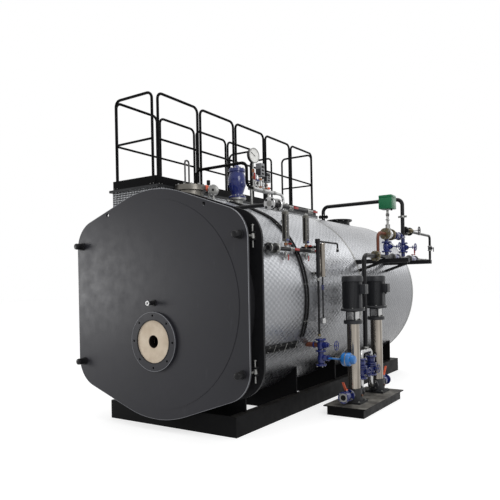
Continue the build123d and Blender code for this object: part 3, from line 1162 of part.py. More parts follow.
with BuildPart() as bypass_loop:
    bypass_z = FEED_HIGH_Z + BYPASS_RISE
    bypass_start = GLOBE_BACKS[1] + FEED_RADIUS + SEAT_GAP
    loop_points = (
        at(PUMP_X, FEED_END, FEED_LOW_Z),
        at(PUMP_X, BYPASS_BACK, FEED_LOW_Z),
        at(PUMP_X, BYPASS_BACK, bypass_z),
        at(PUMP_X, bypass_start, bypass_z),
    )
    pipe_run(loop_points, BYPASS_RADIUS, BYPASS_BEND, PIPE_SIDES)
    valve_start = bypass_start + BYPASS_VALVE_START
    valve_end = valve_start + BYPASS_VALVE_LENGTH
    lengthwise(PUMP_X, (valve_start, valve_end), bypass_z, BYPASS_VALVE_RADIUS)
    for flange_start in (valve_start, valve_end - FEED_FLANGE_THICKNESS):
        flange_end = flange_start + FEED_FLANGE_THICKNESS
        lengthwise(PUMP_X, (flange_start, flange_end), bypass_z, BYPASS_VALVE_FLANGE_RADIUS)
    stem_back = (valve_start + valve_end) / 2
    hub_x = PUMP_X + GLOBE_STEM_REACH
    across((PUMP_X, hub_x), stem_back, bypass_z, STEM_RADIUS, PIPE_SIDES)
    handwheel(Plane(origin=at(hub_x, stem_back, bypass_z), z_dir=(1, 0, 0)))
    drain_z = (FEED_LOW_Z + bypass_z) / 2
    drain_span = (drain_z - BYPASS_DRAIN_HEIGHT / 2, drain_z + BYPASS_DRAIN_HEIGHT / 2)
    post(PUMP_X, BYPASS_BACK, drain_span, BYPASS_DRAIN_RADIUS, PIPE_SIDES)
    across((PUMP_X, PUMP_X + BYPASS_DRAIN_REACH), BYPASS_BACK, drain_z, BYPASS_RADIUS, PIPE_SIDES)

with BuildPart() as station_lever:
    lever_z = FEED_LOW_Z + STATION_STEM_RISE
    post(PUMP_X, STATION_LEVER_BACK, (lever_z, lever_z + STATION_LEVER_HEIGHT), LEVER_HUB_RADIUS)
    x_span = (PUMP_X - STATION_LEVER_HALF_WIDTH, PUMP_X + STATION_LEVER_HALF_WIDTH)
    y_span = (back(STATION_LEVER_BACK), back(STATION_LEVER_BACK + STATION_LEVER_LENGTH))
    block(x_span, y_span, (lever_z, lever_z + STATION_LEVER_HEIGHT))

finished = {
    "shell": shell,
    "front_flange_plate": front_flange_plate,
    "furnace_tube": furnace_tube,
    "front_door": front_door,
    "burner_flange": burner_flange,
    "burner_refractory": burner_refractory,
    "sight_tube": sight_tube,
    "door_nuts": door_nuts,
    "door_eye_bolts": door_eye_bolts,
    "casing_eye_bolts": casing_eye_bolts,
    "hinge_pins": hinge_pins,
    "hinge_brackets": hinge_brackets,
    "rear_end_plate": rear_end_plate,
    "rear_cover": rear_cover,
    "flue_outlet": flue_outlet,
    "base_beams": base_beams,
    "base_end_plates": base_end_plates,
    "saddles": saddles,
    "walkway_housing": walkway_housing,
    "walkway_deck": walkway_deck,
    "near_rails": near_rails,
    "far_rails": far_rails,
    "end_rails": end_rails,
    "landing_rails": landing_rails,
    "toe_boards": toe_boards,
    "access_ladder": access_ladder,
    "steam_valve": steam_valve,
    "steam_nozzle": steam_nozzle,
    "manhole": manhole,
    "balance_pipe": balance_pipe,
    "instrument_header": instrument_header,
    "pressure_gauge": pressure_gauge,
    "pressure_switches": pressure_switches,
    "level_manifolds": level_manifolds,
    "level_gauges": level_gauges,
    "probe_column": probe_column,
    "sample_chamber": sample_chamber,
    "drain_lines": drain_lines,
    "blowdown_valve": blowdown_valve,
    "blowdown_actuator": blowdown_actuator,
    "control_conduits": control_conduits,
    "pump_skid": pump_skid,
    "pump_bases": pump_bases,
    "pump_tubes": pump_tubes,
    "pump_heads": pump_heads,
    "pump_motors": pump_motors,
    "suction_valves": suction_valves,
    "suction_lever_front": suction_lever_front,
    "suction_lever_rear": suction_lever_rear,
    "discharge_manifold": discharge_manifold,
    "discharge_valves": discharge_valves,
    "feed_riser": feed_riser,
    "station_brackets": station_brackets,
    "control_valve": control_valve,
    "feed_actuator": feed_actuator,
    "globe_valves": globe_valves,
    "over_pipe": over_pipe,
    "bypass_loop": bypass_loop,
    "station_lever": station_lever,
}
for name, piece in finished.items():
    piece.part.label = name
    export_step(piece.part, f"parts/{name}.step")
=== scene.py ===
import math

import bmesh
import bpy
import numpy as np
from mathutils import Matrix, Vector
from mathutils.geometry import convex_hull_2d


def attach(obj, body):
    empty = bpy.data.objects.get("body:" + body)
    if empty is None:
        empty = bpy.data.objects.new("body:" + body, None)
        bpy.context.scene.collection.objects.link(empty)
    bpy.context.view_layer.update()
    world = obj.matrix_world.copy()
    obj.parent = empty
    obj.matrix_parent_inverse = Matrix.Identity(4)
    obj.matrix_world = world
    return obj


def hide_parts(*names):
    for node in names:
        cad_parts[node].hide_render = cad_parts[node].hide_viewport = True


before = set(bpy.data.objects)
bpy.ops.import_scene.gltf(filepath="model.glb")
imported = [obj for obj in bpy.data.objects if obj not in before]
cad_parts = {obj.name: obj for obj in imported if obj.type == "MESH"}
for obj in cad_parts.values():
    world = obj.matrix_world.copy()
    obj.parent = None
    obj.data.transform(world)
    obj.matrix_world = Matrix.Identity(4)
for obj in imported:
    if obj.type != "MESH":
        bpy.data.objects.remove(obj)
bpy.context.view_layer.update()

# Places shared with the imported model. They and the sizes of all pieces are in millimetres.
# A place along the boiler is given as a distance back from the door's face.
MM = 0.001
DOOR_FACE_Y = -2697
LINING_DEPTH = 25.6
HOOP_Z = 2803
AXIS_Z = 1430
SHELL_RADIUS = 1250
PLATE_CENTRE_Z = 1415
BURNER_Z = 1000
DECK_Z = 2810
HEADER_X = 350
HEADER_TOP_Z = 2884.5
BALANCE_X = 800
BALANCE_Z = 2735
LEVEL_X = 1180
LEVEL_LOW_Z = 2010
LEVEL_HIGH_Z = 2490
PROBE_X = 1300
PROBE_BACK = 1455
CHAMBER_BACK = 1570
TAP_HEIGHTS = (1735, 2055)
PURGE_BACK = 1490
PUMP_X = 1565
PUMP_BACKS = (1860, 2630)
OUTLET_BACKS = (2085, 2405)
SUCTION_Z = 235
FEED_LOW_Z = 1970
FEED_HIGH_Z = 2300
BYPASS_Z = 2405
OVER_BACK = 3800
ALONG = Vector((0, 1, 0))
SIDE = Vector((1, 0, 0))
UP = Vector((0, 0, 1))
BOTH = (-1, 1)


def at(x, back, z):
    """A place in the model's frame."""
    return Vector((x, DOOR_FACE_Y + back, z))


def on_line(back, z):
    """A place over the line of the pumps, where the feed station stands too."""
    return at(PUMP_X, back, z)


def by(x, y, z):
    """A step from a place."""
    return Vector((x, y, z))


# Materials: lengths inside a shader are in metres
DUST = (150, 147, 140)
# Heights in metres over which painted shade darkens the cladding towards the ground.
PAINTED_SHADE_Z = (1.82, 0.62)


def srgb(red, green, blue):
    """A colour of 0 to 255 per channel, as the linear values that the shaders take."""
    def linear(c):
        c /= 255
        return c / 12.92 if c <= 0.04045 else ((c + 0.055) / 1.055) ** 2.4
    return (linear(red), linear(green), linear(blue), 1)


def shade(color, gain):
    return tuple(min(1, c * gain) for c in color[:3]) + (1,)


class Graph:
    """A shorthand for one material's nodes."""

    def __init__(self, name):
        self.material = bpy.data.materials.new(name)
        self.material.use_nodes = True
        self.nodes = self.material.node_tree.nodes
        self.links = self.material.node_tree.links
        self.shader = self.nodes["Principled BSDF"]
        self.place = self.node("TexCoord").outputs["Object"]

    def put(self, value, socket):
        if isinstance(value, bpy.types.NodeSocket):
            self.links.new(value, socket)
        else:
            socket.default_value = value

    def node(self, kind, **inputs):
        """A new node with its inputs set or linked by name, where an underscore stands for a space."""
        node = self.nodes.new("ShaderNode" + kind)
        for name, value in inputs.items():
            self.put(value, node.inputs[name.replace("_", " ")])
        return node

    def noise(self, scale, detail=4, rough=0.55, place=None):
        node = self.node("TexNoise", Scale=scale, Detail=detail, Roughness=rough, Vector=place or self.place)
        return node.outputs["Fac"]

    def ramp(self, fac, low, high, start=0.0, end=1.0):
        node = self.node("MapRange", Value=fac, From_Min=low, From_Max=high, To_Min=start, To_Max=end)
        return node.outputs["Result"]

    def cloud(self, scale, detail, start=0.0, end=1.0, span=(0.3, 0.7)):
        """Soft noise whose span is spread over the values from start to end."""
        return self.ramp(self.noise(scale, detail), *span, start, end)

    def mottled(self, color, dark, light, scale, detail, span=(0.3, 0.7)):
        """A colour that wanders between a darker and a lighter tone of itself."""
        return self.mix(self.cloud(scale, detail, span=span), shade(color, dark), shade(color, light))

    def math(self, kind, first, second=0.0):
        node = self.node("Math")
        node.operation = kind
        self.put(first, node.inputs[0])
        self.put(second, node.inputs[1])
        return node.outputs[0]

    def times(self, first, second):
        return self.math("MULTIPLY", first, second)

    def mix(self, fac, first, second):
        node = self.node("Mix")
        node.data_type = "RGBA"
        self.put(fac, node.inputs[0])
        self.put(first, node.inputs[6])
        self.put(second, node.inputs[7])
        return node.outputs[2]

    def axis(self, name, source=None):
        return self.node("SeparateXYZ", Vector=source or self.place).outputs[name]

    def stretched(self, scale):
        return self.node("Mapping", Vector=self.place, Scale=scale).outputs[0]

    def upward(self):
        return self.axis("Z", self.node("NewGeometry").outputs["Normal"])

    def bump(self, height, strength, distance):
        node = self.node("Bump", Height=height, Strength=strength, Distance=distance)
        self.put(node.outputs[0], self.shader.inputs["Normal"])

    def finish(self, color, rough, metallic):
        self.put(color, self.shader.inputs["Base Color"])
        self.put(rough, self.shader.inputs["Roughness"])
        self.put(metallic, self.shader.inputs["Metallic"])
        return self.material


def paint(name, color, rough=0.42, patch=0.14, dust=0.10, peel=0.10, chips=None, coat=0.0, gloss=0.3):
    """Paint with cloudy colour, orange peel, settled dust and, where asked, chips to a colour below."""
    look = Graph(name)
    base = srgb(*color)
    tone = look.mottled(base, 1 - patch, 1 + patch, 2.3, 5, (0.32, 0.68))
    tone = look.mix(look.cloud(38, 3, 0, 0.16, (0.35, 0.75)), tone, shade(base, 1.5))
    settled = look.times(look.ramp(look.upward(), 0.35, 1.0), look.cloud(7, 5, 0.2, 1, (0.35, 0.7)))
    tone = look.mix(look.times(settled, dust), tone, srgb(*DUST))
    if chips:
        worn = look.ramp(look.noise(60, 6, 0.7), 0.68, 0.72)
        tone = look.mix(look.times(worn, 0.8), tone, srgb(*chips))
    look.bump(look.noise(240, 2), peel, 0.002)
    look.shader.inputs["Coat Weight"].default_value = coat
    look.shader.inputs["Specular IOR Level"].default_value = gloss
    return look.finish(tone, look.cloud(11, 4, rough - 0.06, rough + 0.10), 0.0)


def metal(name, color, rough=0.3, patch=0.10, brushed=None, stain=None, pits=0.06, reflection_streaks=0.0):
    """Bare metal with a drawn or cast grain, cloudy colour and, where asked, stains and lengthwise streaks
    of painted reflection, dark and bright.
    """
    look = Graph(name)
    base = srgb(*color)
    tone = look.mottled(base, 1 - patch, 1 + patch, 5, 5)
    if stain:
        tone = look.mix(look.ramp(look.noise(9, 6, 0.65), 0.5, 0.75, 0, 0.75), tone, srgb(*stain))
    # Painted reflection: dark and bright streaks along the grain.
    if reflection_streaks:
        reflection_lines = look.noise(34, 4, 0.65, look.stretched(brushed))
        tone = look.mix(look.ramp(reflection_lines, 0.42, 0.62, 0, reflection_streaks), tone, shade(base, 0.22))
        tone = look.mix(look.ramp(reflection_lines, 0.40, 0.28, 0, reflection_streaks), tone, shade(base, 1.9))
    grain = look.noise(120, 3, 0.6, look.stretched(brushed) if brushed else None)
    look.bump(grain, pits, 0.0015)
    return look.finish(tone, look.ramp(grain, 0.25, 0.75, rough - 0.07, rough + 0.10), 1.0)


def cladding():
    """Aluminium sheet pressed with staggered dimples, with painted shade in their hollows and a painted
    highlight on their crests, a painted darker reflection behind the middle joint, and painted shade towards
    the ground.
    """
    row_pitch, column_pitch = 66, 100
    joint_y = at(0, 2925, 0).y * MM
    look = Graph("stucco_aluminium")
    base = srgb(168, 170, 174)
    tone = look.mottled(base, 0.86, 1.06, 1.3, 6, (0.32, 0.68))
    turn = look.math("ARCTAN2", look.math("SUBTRACT", look.axis("Z"), AXIS_Z * MM), look.axis("X"))
    rows = look.math("SINE", look.times(turn, 2 * math.pi * SHELL_RADIUS / row_pitch))
    columns = look.math("SINE", look.times(look.axis("Y"), 2 * math.pi / (column_pitch * MM)))
    dimples = look.times(rows, columns)
    # Painted shade in the dimples' hollows and a painted highlight on their crests.
    tone = look.mix(look.ramp(dimples, -0.05, -0.60, 0, 0.22), tone, shade(base, 0.42))
    tone = look.mix(look.ramp(dimples, 0.10, 0.70, 0, 0.18), tone, srgb(226, 227, 230))
    # Painted darker reflection on the sheet behind the middle joint.
    rear_painted_reflection = look.math("GREATER_THAN", look.axis("Y"), joint_y)
    tone = look.mix(look.times(rear_painted_reflection, 0.42), tone, srgb(96, 97, 101))
    # Painted shade, patchy, darkening the sheet towards the ground.
    low = look.times(look.ramp(look.axis("Z"), *PAINTED_SHADE_Z), look.cloud(2.2, 4, 0.72, 0.94, (0.2, 0.7)))
    tone = look.mix(low, tone, srgb(46, 46, 50))
    look.bump(look.math("ADD", dimples, look.times(look.noise(60, 3), 0.5)), 0.22, 0.004)
    return look.finish(tone, look.cloud(14, 5, 0.22, 0.34), 0.65)


def chequer(name, sides):
    """Dark sheet with staggered lozenges worn bright on top, on its upright sides too where asked."""
    wave_number = math.pi / 0.027
    look = Graph(name)
    x, y, z = (look.axis(letter) for letter in "XYZ")

    def lattice(first, second):
        crossing = [look.times(look.math(kind, first, second), wave_number) for kind in ("ADD", "SUBTRACT")]
        return look.times(*(look.math("SINE", wave) for wave in crossing))

    lying = look.math("GREATER_THAN", look.upward(), 0.7)
    standing = look.times(look.math("SUBTRACT", 1.0, lying), sides)
    upright = look.times(lattice(z, look.math("ADD", x, y)), standing)
    lozenge = look.ramp(look.math("ADD", look.times(lattice(x, y), lying), upright), 0.05, 0.45)
    worn = look.times(lozenge, look.cloud(3, 4, 0.65, 0.95))
    tone = look.mix(worn, look.mottled(srgb(34, 35, 37), 0.75, 1.25, 6, 5), srgb(188, 190, 193))
    look.bump(lozenge, 0.5, 0.004)
    return look.finish(tone, look.cloud(20, 4, 0.32, 0.5), 0.7)


def door_coat():
    """Anthracite paint outside, and a pale fibre lining on the side that faces the fire."""
    look = Graph("door_anthracite")
    tone = look.mottled(srgb(37, 37, 42), 0.88, 1.12, 1.1, 6)
    scuffs = look.noise(6, 6, 0.7, look.stretched((1.0, 1.0, 0.25)))
    tone = look.mix(look.ramp(scuffs, 0.62, 0.80, 0, 0.20), tone, srgb(92, 92, 97))
    lining = look.mix(look.cloud(18, 6), srgb(186, 170, 142), srgb(214, 204, 184))
    inside = look.math("GREATER_THAN", look.axis("Y"), (DOOR_FACE_Y + LINING_DEPTH) * MM)
    tone = look.mix(inside, tone, lining)
    look.bump(look.noise(190, 3), 0.10, 0.002)
    look.shader.inputs["Specular IOR Level"].default_value = 0.25
    rough = look.math("MAXIMUM", look.cloud(7, 5, 0.40, 0.52), look.times(inside, 0.9))
    return look.finish(tone, rough, 0.0)


def refractory():
    """Cast refractory: sandy, speckled and pitted."""
    look = Graph("cast_refractory")
    tone = look.mix(look.cloud(9, 6), srgb(205, 187, 164), srgb(228, 213, 192))
    tone = look.mix(look.cloud(130, 4, 0, 0.45, (0.60, 0.75)), tone, srgb(160, 136, 112))
    cells = look.node("TexVoronoi", Scale=120, Vector=look.place)
    pits = look.ramp(cells.outputs["Distance"], 0.0, 0.35)
    look.bump(look.math("ADD", pits, look.noise(60, 5)), 0.35, 0.003)
    return look.finish(tone, 0.92, 0.0)


def cover_steel():
    """Handled steel for the manhole, with its hoop painted black."""
    look = Graph("cover_steel")
    hoop = look.math("GREATER_THAN", look.axis("Z"), HOOP_Z * MM)
    tone = look.mix(hoop, look.mottled(srgb(108, 105, 100), 0.75, 1.2, 5, 5), srgb(20, 20, 21))
    look.bump(look.noise(90, 3), 0.15, 0.002)
    return look.finish(tone, look.cloud(12, 4, 0.30, 0.48), look.math("SUBTRACT", 1.0, hoop))


COVER = cover_steel()
DOOR = door_coat()
CLAD = cladding()
CHEQUER = chequer("chequer_sheet", 1.0)
DECK = chequer("deck_plate", 0.0)
FIRE = refractory()
BLACK = paint("black_enamel", (22, 22, 24), rough=0.36, patch=0.18, dust=0.06, gloss=0.16)
RAIL = paint("rail_enamel", (13, 13, 14), rough=0.40, patch=0.2, dust=0.01, peel=0.03, gloss=0.03)
FRAME = paint("frame_enamel", (16, 16, 17), 0.46, 0.2, peel=0.06, chips=(38, 36, 34), gloss=0.05)
SKID = paint("skid_enamel", (16, 16, 17), 0.40, 0.2, dust=0.75, peel=0.05, chips=(38, 36, 34), gloss=0.06)
PLATE = paint("plate_enamel", (27, 27, 29), rough=0.48, patch=0.15, dust=0.03, gloss=0.15)
# Pale grey paint for the painted edge highlights round the door and the burner flange.
EDGE_HIGHLIGHT = paint("painted_edge_highlight", (128, 129, 134), rough=0.4, patch=0.25, dust=0.0, peel=0.2, chips=(70, 70, 74))
SOOT = paint("scaled_steel", (30, 27, 24), 0.8, 0.3, dust=0.0, peel=0.3, chips=(52, 42, 34), gloss=0.1)
BROWN = paint("rusted_tube", (96, 52, 36), rough=0.55, patch=0.25, dust=0.0, peel=0.3, chips=(66, 42, 34))
BLUE = paint("valve_blue", (18, 31, 94), 0.24, 0.22, dust=0.02, peel=0.2, chips=(14, 20, 50), coat=0.35)
SKY = paint("actuator_blue", (34, 112, 184), rough=0.30, dust=0.06, peel=0.12, coat=0.25)
GREEN = paint("housing_green", (22, 98, 62), rough=0.36, patch=0.12, dust=0.05, peel=0.14)
GREY = paint("column_grey", (88, 86, 80), rough=0.46, patch=0.16, dust=0.05, peel=0.15)
BOX_GREY = paint("box_grey", (126, 127, 129), patch=0.10, dust=0.05)
IRON = paint("motor_black", (34, 35, 38), rough=0.40, patch=0.18, dust=0.05, peel=0.14)
ORANGE = paint("lever_orange", (208, 92, 60), rough=0.40, patch=0.12, dust=0.04)
RED = paint("cock_red", (142, 34, 28), rough=0.38, dust=0.04)
WHITE = paint("dial_white", (226, 226, 222), rough=0.5, patch=0.03, dust=0.0, peel=0.02)
RUBBER = paint("cable_black", (15, 15, 16), rough=0.5, patch=0.2, dust=0.02, gloss=0.12)
PLAIN = metal("plain_aluminium", (150, 152, 155), rough=0.34, patch=0.12, stain=(112, 114, 118))
STEEL = metal("turned_steel", (172, 172, 172), rough=0.26, patch=0.12, brushed=(1, 1, 9))
DULL = metal("galvanised_steel", (134, 134, 132), rough=0.40, patch=0.18)
# The drawn stainless carries streaks of painted reflection.
STAINLESS = metal("drawn_stainless", (152, 145, 136), 0.16, 0.08, (1, 1, 0.02), pits=0.03, reflection_streaks=0.55)
BRASS = metal("red_brass", (124, 88, 66), rough=0.34, patch=0.16, stain=(84, 58, 44))
BRONZE = metal("bronze_casting", (112, 104, 84), rough=0.42, patch=0.2, stain=(70, 64, 52), pits=0.15)


# Mesh helpers, with the angles in degrees past which an edge is sharp
SHARP_LIMIT = 38
PACKED_SHARP_LIMIT = 50
STUB_DEPTH = 10


def frame_on(axis):
    """Two directions square to an axis and to each other."""
    axis = axis.normalized()
    first = axis.cross(UP if abs(axis.z) < 0.9 else SIDE).normalized()
    return first, axis.cross(first)


def circle(first, second, count, phase=0.0):
    """Directions evenly spaced round the plane of two others."""
    turns = [2 * math.pi * (step + phase) / count for step in range(count)]
    return [first * math.cos(turn) + second * math.sin(turn) for turn in turns]


def round_about(axis, count, phase=0.0):
    """Directions square to an axis, evenly spaced round it."""
    return circle(*frame_on(axis), count, phase)


def bands(rows, count, closed=False):
    """Quads between neighbouring rows of points, where each row is a ring."""
    faces = []
    for row in range(rows if closed else rows - 1):
        low, high = row * count, (row + 1) % rows * count
        for step in range(count):
            after = (step + 1) % count
            faces.append((low + step, low + after, high + after, high + step))
    return faces


def eased(radius, length, ease):
    """The side of a drum with eased rims, as (radius, height) points."""
    return (radius - ease, 0), (radius, ease), (radius, length - ease), (radius - ease, length)


def show(name, data):
    """Puts an object with this mesh, lamp or camera into the scene."""
    shown = bpy.data.objects.new(name, data)
    bpy.context.scene.collection.objects.link(shown)
    return shown


class Piece:
    """Gathers the parts of one visible piece, each with its own material. Its lengths are in millimetres."""

    def __init__(self):
        self.vertices, self.faces, self.slots, self.materials = [], [], [], []

    def add(self, vertices, faces, material):
        if material not in self.materials:
            self.materials.append(material)
        base = len(self.vertices)
        self.vertices += [tuple(v * MM) for v in vertices]
        self.faces += [tuple(base + i for i in f) for f in faces]
        self.slots += [self.materials.index(material)] * len(faces)

    def lathe(self, origin, axis, profile, material, sides=32):
        """Turns (radius, height) points about an axis through the origin."""
        axis = axis.normalized()
        outward = round_about(axis, sides)
        vertices, rings, faces = [], [], []
        for radius, height in profile:
            centre = origin + axis * height
            spots = [centre + out * radius for out in outward] if radius else [centre]
            rings.append(range(len(vertices), len(vertices) + len(spots)))
            vertices += spots
        for low, high in zip(rings, rings[1:]):
            if len(low) == len(high) == 1:
                continue
            for step in range(sides):
                quad = [ring[turn % len(ring)] for ring, turn in (
                    (low, step), (low, step + 1), (high, step + 1), (high, step),
                )]
                faces.append(tuple(dict.fromkeys(quad)))
        self.add(vertices, faces, material)

    def disc(self, origin, axis, radius, length, material, sides=32, ease=2.5):
        """A short turned drum with eased rims."""
        rims = eased(radius, length, ease)
        self.lathe(origin, axis, ((0, 0), *rims, (0, length)), material, sides)

    def nut(self, origin, axis, radius, length, material, ease=1):
        self.disc(origin, axis, radius, length, material, 6, ease)

    def ring(self, origin, axis, outer, inner, length, material, sides=48, ease=2):
        rims = eased(outer, length, ease)
        self.lathe(origin, axis, ((inner, 0), *rims, (inner, length), (inner, 0)), material, sides)

    def rod(self, start, end, radius, material, sides=16):
        self.sweep([start, end], radius, material, sides)

    def tube(self, points, radius, bend, material, sides=16, steps=6):
        """A pipe along straight runs joined by round bends."""
        route = [points[0]]
        for before, corner, after in zip(points, points[1:], points[2:]):
            inward = (corner - before).normalized()
            outward = (after - corner).normalized()
            half = inward.angle(outward) / 2
            start = corner - inward * bend * math.tan(half)
            centre = corner + (outward - inward).normalized() * (bend / math.cos(half))
            spin = inward.cross(outward)
            for step in range(steps + 1):
                turned = Matrix.Rotation(2 * half * step / steps, 3, spin) @ (start - centre)
                route.append(centre + turned)
        route.append(points[-1])
        self.sweep(route, radius, material, sides)

    def sweep(self, route, radius, material, sides=16):
        """A round bar along a route of points, closed at its ends."""
        directions = [(b - a).normalized() for a, b in zip(route, route[1:])]
        side, _ = frame_on(directions[0])
        vertices = []
        for index, centre in enumerate(route):
            ahead = directions[min(index, len(directions) - 1)]
            behind = directions[max(index - 1, 0)]
            tangent = (ahead + behind).normalized()
            side = (side - tangent * side.dot(tangent)).normalized()
            vertices += [centre + out * radius for out in circle(side, tangent.cross(side), sides)]
        last = (len(route) - 1) * sides
        caps = [tuple(reversed(range(sides))), tuple(range(last, last + sides))]
        self.add(vertices, bands(len(route), sides) + caps, material)

    def box(self, origin, low, high, material, ease=4):
        """A block with bevelled edges between two opposite corners, both steps from the origin."""
        low, high = Vector(low), Vector(high)
        middle = origin + (low + high) / 2
        mesh = bmesh.new()
        bmesh.ops.create_cube(mesh, size=1)
        for v in mesh.verts:
            v.co = Vector(c * abs(b - a) for c, a, b in zip(v.co, low, high))
        bmesh.ops.bevel(mesh, geom=mesh.edges[:], offset=ease, segments=2, profile=0.6, affect="EDGES")
        mesh.verts.index_update()
        faces = [[v.index for v in f.verts] for f in mesh.faces]
        self.add([v.co + middle for v in mesh.verts], faces, material)
        mesh.free()

    def torus(self, centre, axis, radius, thick, material, sides=36, around=10):
        vertices = []
        for out in round_about(axis, sides):
            vertices += [centre + out * radius + lean * thick for lean in circle(out, axis, around)]
        self.add(vertices, bands(sides, around, closed=True), material)

    def bolts(self, origin, axis, circle, count, radius, height, material, phase=0.5):
        """A ring of hexagon heads on washers."""
        washer = height * 0.22
        head = ((radius, 0), (radius, height * 0.7), (radius * 0.8, height), (0, height))
        for out in round_about(axis, count, phase):
            foot = origin + out * circle
            self.disc(foot, axis, radius * 1.45, washer, material, 14, height * 0.05)
            self.lathe(foot + axis.normalized() * washer, axis, head, material, 6)

    def flange(self, origin, axis, radius, length, material, count=4, bolt=8, bolt_material=None):
        """A pipe flange with bolt heads on the face that its axis points to."""
        self.disc(origin, axis, radius, length, material, 36)
        face = origin + axis * length
        self.bolts(face, axis, radius * 0.78, count, bolt, bolt * 1.3, bolt_material or DULL)

    def pair(self, origin, axis, *sizes):
        """Two flanges back to back."""
        for way in (axis, -axis):
            self.flange(origin, way, *sizes)

    def wheel(self, hub, axis, radius, thick, material):
        """A handwheel: a round rim, four spokes and a hub."""
        self.torus(hub, axis, radius - thick, thick, material)
        for out in round_about(axis, 4):
            self.rod(hub, hub + out * (radius - thick), thick * 0.7, material, 8)
        self.disc(hub - axis * thick * 1.2, axis, thick * 2.2, thick * 2.4, material, 18)

    def cock(self, centre, axis, lever, material, size, handle=None):
        """A small valve: a body between hexagon ends, its stem and, where asked, a red handle."""
        for end in (-1.6, 0.8):
            self.nut(centre + axis * size * end, axis, size, size * 0.8, material)
        waist, belly = size * 0.7, size * 0.95
        profile = ((waist, -size), (belly, -size * 0.3), (belly, size * 0.3), (waist, size))
        self.lathe(centre, axis, profile, material, 20)
        top = centre + lever * size * 1.7
        self.rod(centre, top, size * 0.35, STEEL, 10)
        if handle:
            wide = axis.cross(lever) * size * 0.45 + lever * size * 0.2
            self.box(top, -wide, wide + handle * size * 3.4, RED, size * 0.12)

    def stub(self, end, radius, material, sides=16):
        """A pipe straight out of the shell's side."""
        wall = math.sqrt(SHELL_RADIUS ** 2 - (end.z - AXIS_Z) ** 2)
        self.rod(Vector((wall - STUB_DEPTH, end.y, end.z)), end, radius, material, sides)

    def done(self, name, slot, *nodes, body="boiler"):
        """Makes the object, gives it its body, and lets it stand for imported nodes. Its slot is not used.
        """
        mesh = bpy.data.meshes.new(name)
        mesh.from_pydata(self.vertices, [], self.faces)
        for material in self.materials:
            mesh.materials.append(material)
        mesh.polygons.foreach_set("material_index", self.slots)
        mesh.validate()
        outward = bmesh.new()
        outward.from_mesh(mesh)
        bmesh.ops.recalc_face_normals(outward, faces=outward.faces[:])
        outward.to_mesh(mesh)
        outward.free()
        mesh.polygons.foreach_set("use_smooth", [True] * len(mesh.polygons))
        mesh.set_sharp_from_angle(angle=math.radians(SHARP_LIMIT))
        piece = show(name, mesh)
        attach(piece, body)
        if nodes:
            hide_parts(*nodes)


def fills(slot, *nodes, body="boiler"):
    """Makes the piece that a function fills. It has the function's name."""
    def make(fill):
        piece = Piece()
        fill(piece)
        piece.done(fill.__name__, slot, *nodes, body=body)
        return fill
    return make


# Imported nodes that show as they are

def dress(name, material):
    """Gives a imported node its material, and normals that run smoothly round its shallow edges."""
    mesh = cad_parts[name].data
    mesh.materials.clear()
    mesh.materials.append(material)
    normals = np.array([face.normal[:] for face in mesh.polygons])
    areas = np.array([face.area for face in mesh.polygons])
    places = [tuple(round(c, 5) for c in vertex.co) for vertex in mesh.vertices]
    meeting = {}
    for face in mesh.polygons:
        for corner in face.vertices:
            meeting.setdefault(places[corner], []).append(face.index)
    near = math.cos(math.radians(PACKED_SHARP_LIMIT))
    loops = []
    for face in mesh.polygons:
        own = normals[face.index]
        for corner in face.vertices:
            alike = [i for i in meeting[places[corner]] if normals[i] @ own > near]
            total = sum(normals[i] * areas[i] for i in alike)
            length = np.linalg.norm(total)
            loops.append(tuple(total / length) if length > 1e-9 else tuple(own))
    mesh.polygons.foreach_set("use_smooth", [True] * len(mesh.polygons))
    mesh.normals_split_custom_set(loops)


for material, names in (
    (CLAD, ("shell",)),
    (PLATE, ("front_flange_plate", "hinge_brackets")),
    (SOOT, ("furnace_tube",)),
    (DOOR, ("front_door", "burner_flange")),
    (FIRE, ("burner_refractory",)),
    (DULL, ("door_eye_bolts", "casing_eye_bolts", "hinge_pins", "steam_nozzle", "instrument_header")),
    (PLAIN, ("rear_end_plate",)),
    (FRAME, ("rear_cover", "base_beams", "base_end_plates", "saddles")),
    (BLACK, ("flue_outlet", "station_brackets")),
    (CHEQUER, ("walkway_housing",)),
    (DECK, ("walkway_deck",)),
    (RAIL, ("toe_boards", "access_ladder")),
    (COVER, ("manhole",)),
    (SKID, ("pump_skid",)),
    (IRON, ("pump_bases",)),
    (ORANGE, ("suction_lever_front", "suction_lever_rear")),
    (RED, ("station_lever",)),
):
    for name in names:
        dress(name, material)


# Guard rails
RAIL_HEIGHT = 1100
RAIL_RADIUS = 16.5
KNEE_RADIUS = 13.5
FOOT_HALF = 34
FOOT_THICK = 9


def guard(name, node, frames):
    """Bent tubes with knee rails on bolted foot plates, each frame between two feet."""
    piece = Piece()
    for feet in frames:
        low, knee, high = (
            [foot + UP * (DECK_Z + height) for foot in feet]
            for height in (0, RAIL_HEIGHT / 2, RAIL_HEIGHT - 2.5)
        )
        piece.tube([low[0], *high, low[1]], RAIL_RADIUS, 75, RAIL)
        piece.rod(*knee, KNEE_RADIUS, RAIL, 14)
        for foot in low:
            piece.box(foot, (-FOOT_HALF, -FOOT_HALF, 0), (FOOT_HALF, FOOT_HALF, FOOT_THICK), RAIL, 2)
            piece.bolts(foot + UP * FOOT_THICK, UP, FOOT_HALF, 4, 5, 7, DULL)
    piece.done(name, "black_steel", node)


def lengthwise(x, start, pitch, length, count):
    backs = [start + step * pitch for step in range(count)]
    return [(at(x, back, 0), at(x, back + length, 0)) for back in backs]


def crosswise(outer_x, inner_x, backs):
    return [(at(outer_x, back, 0), at(inner_x, back, 0)) for back in backs]


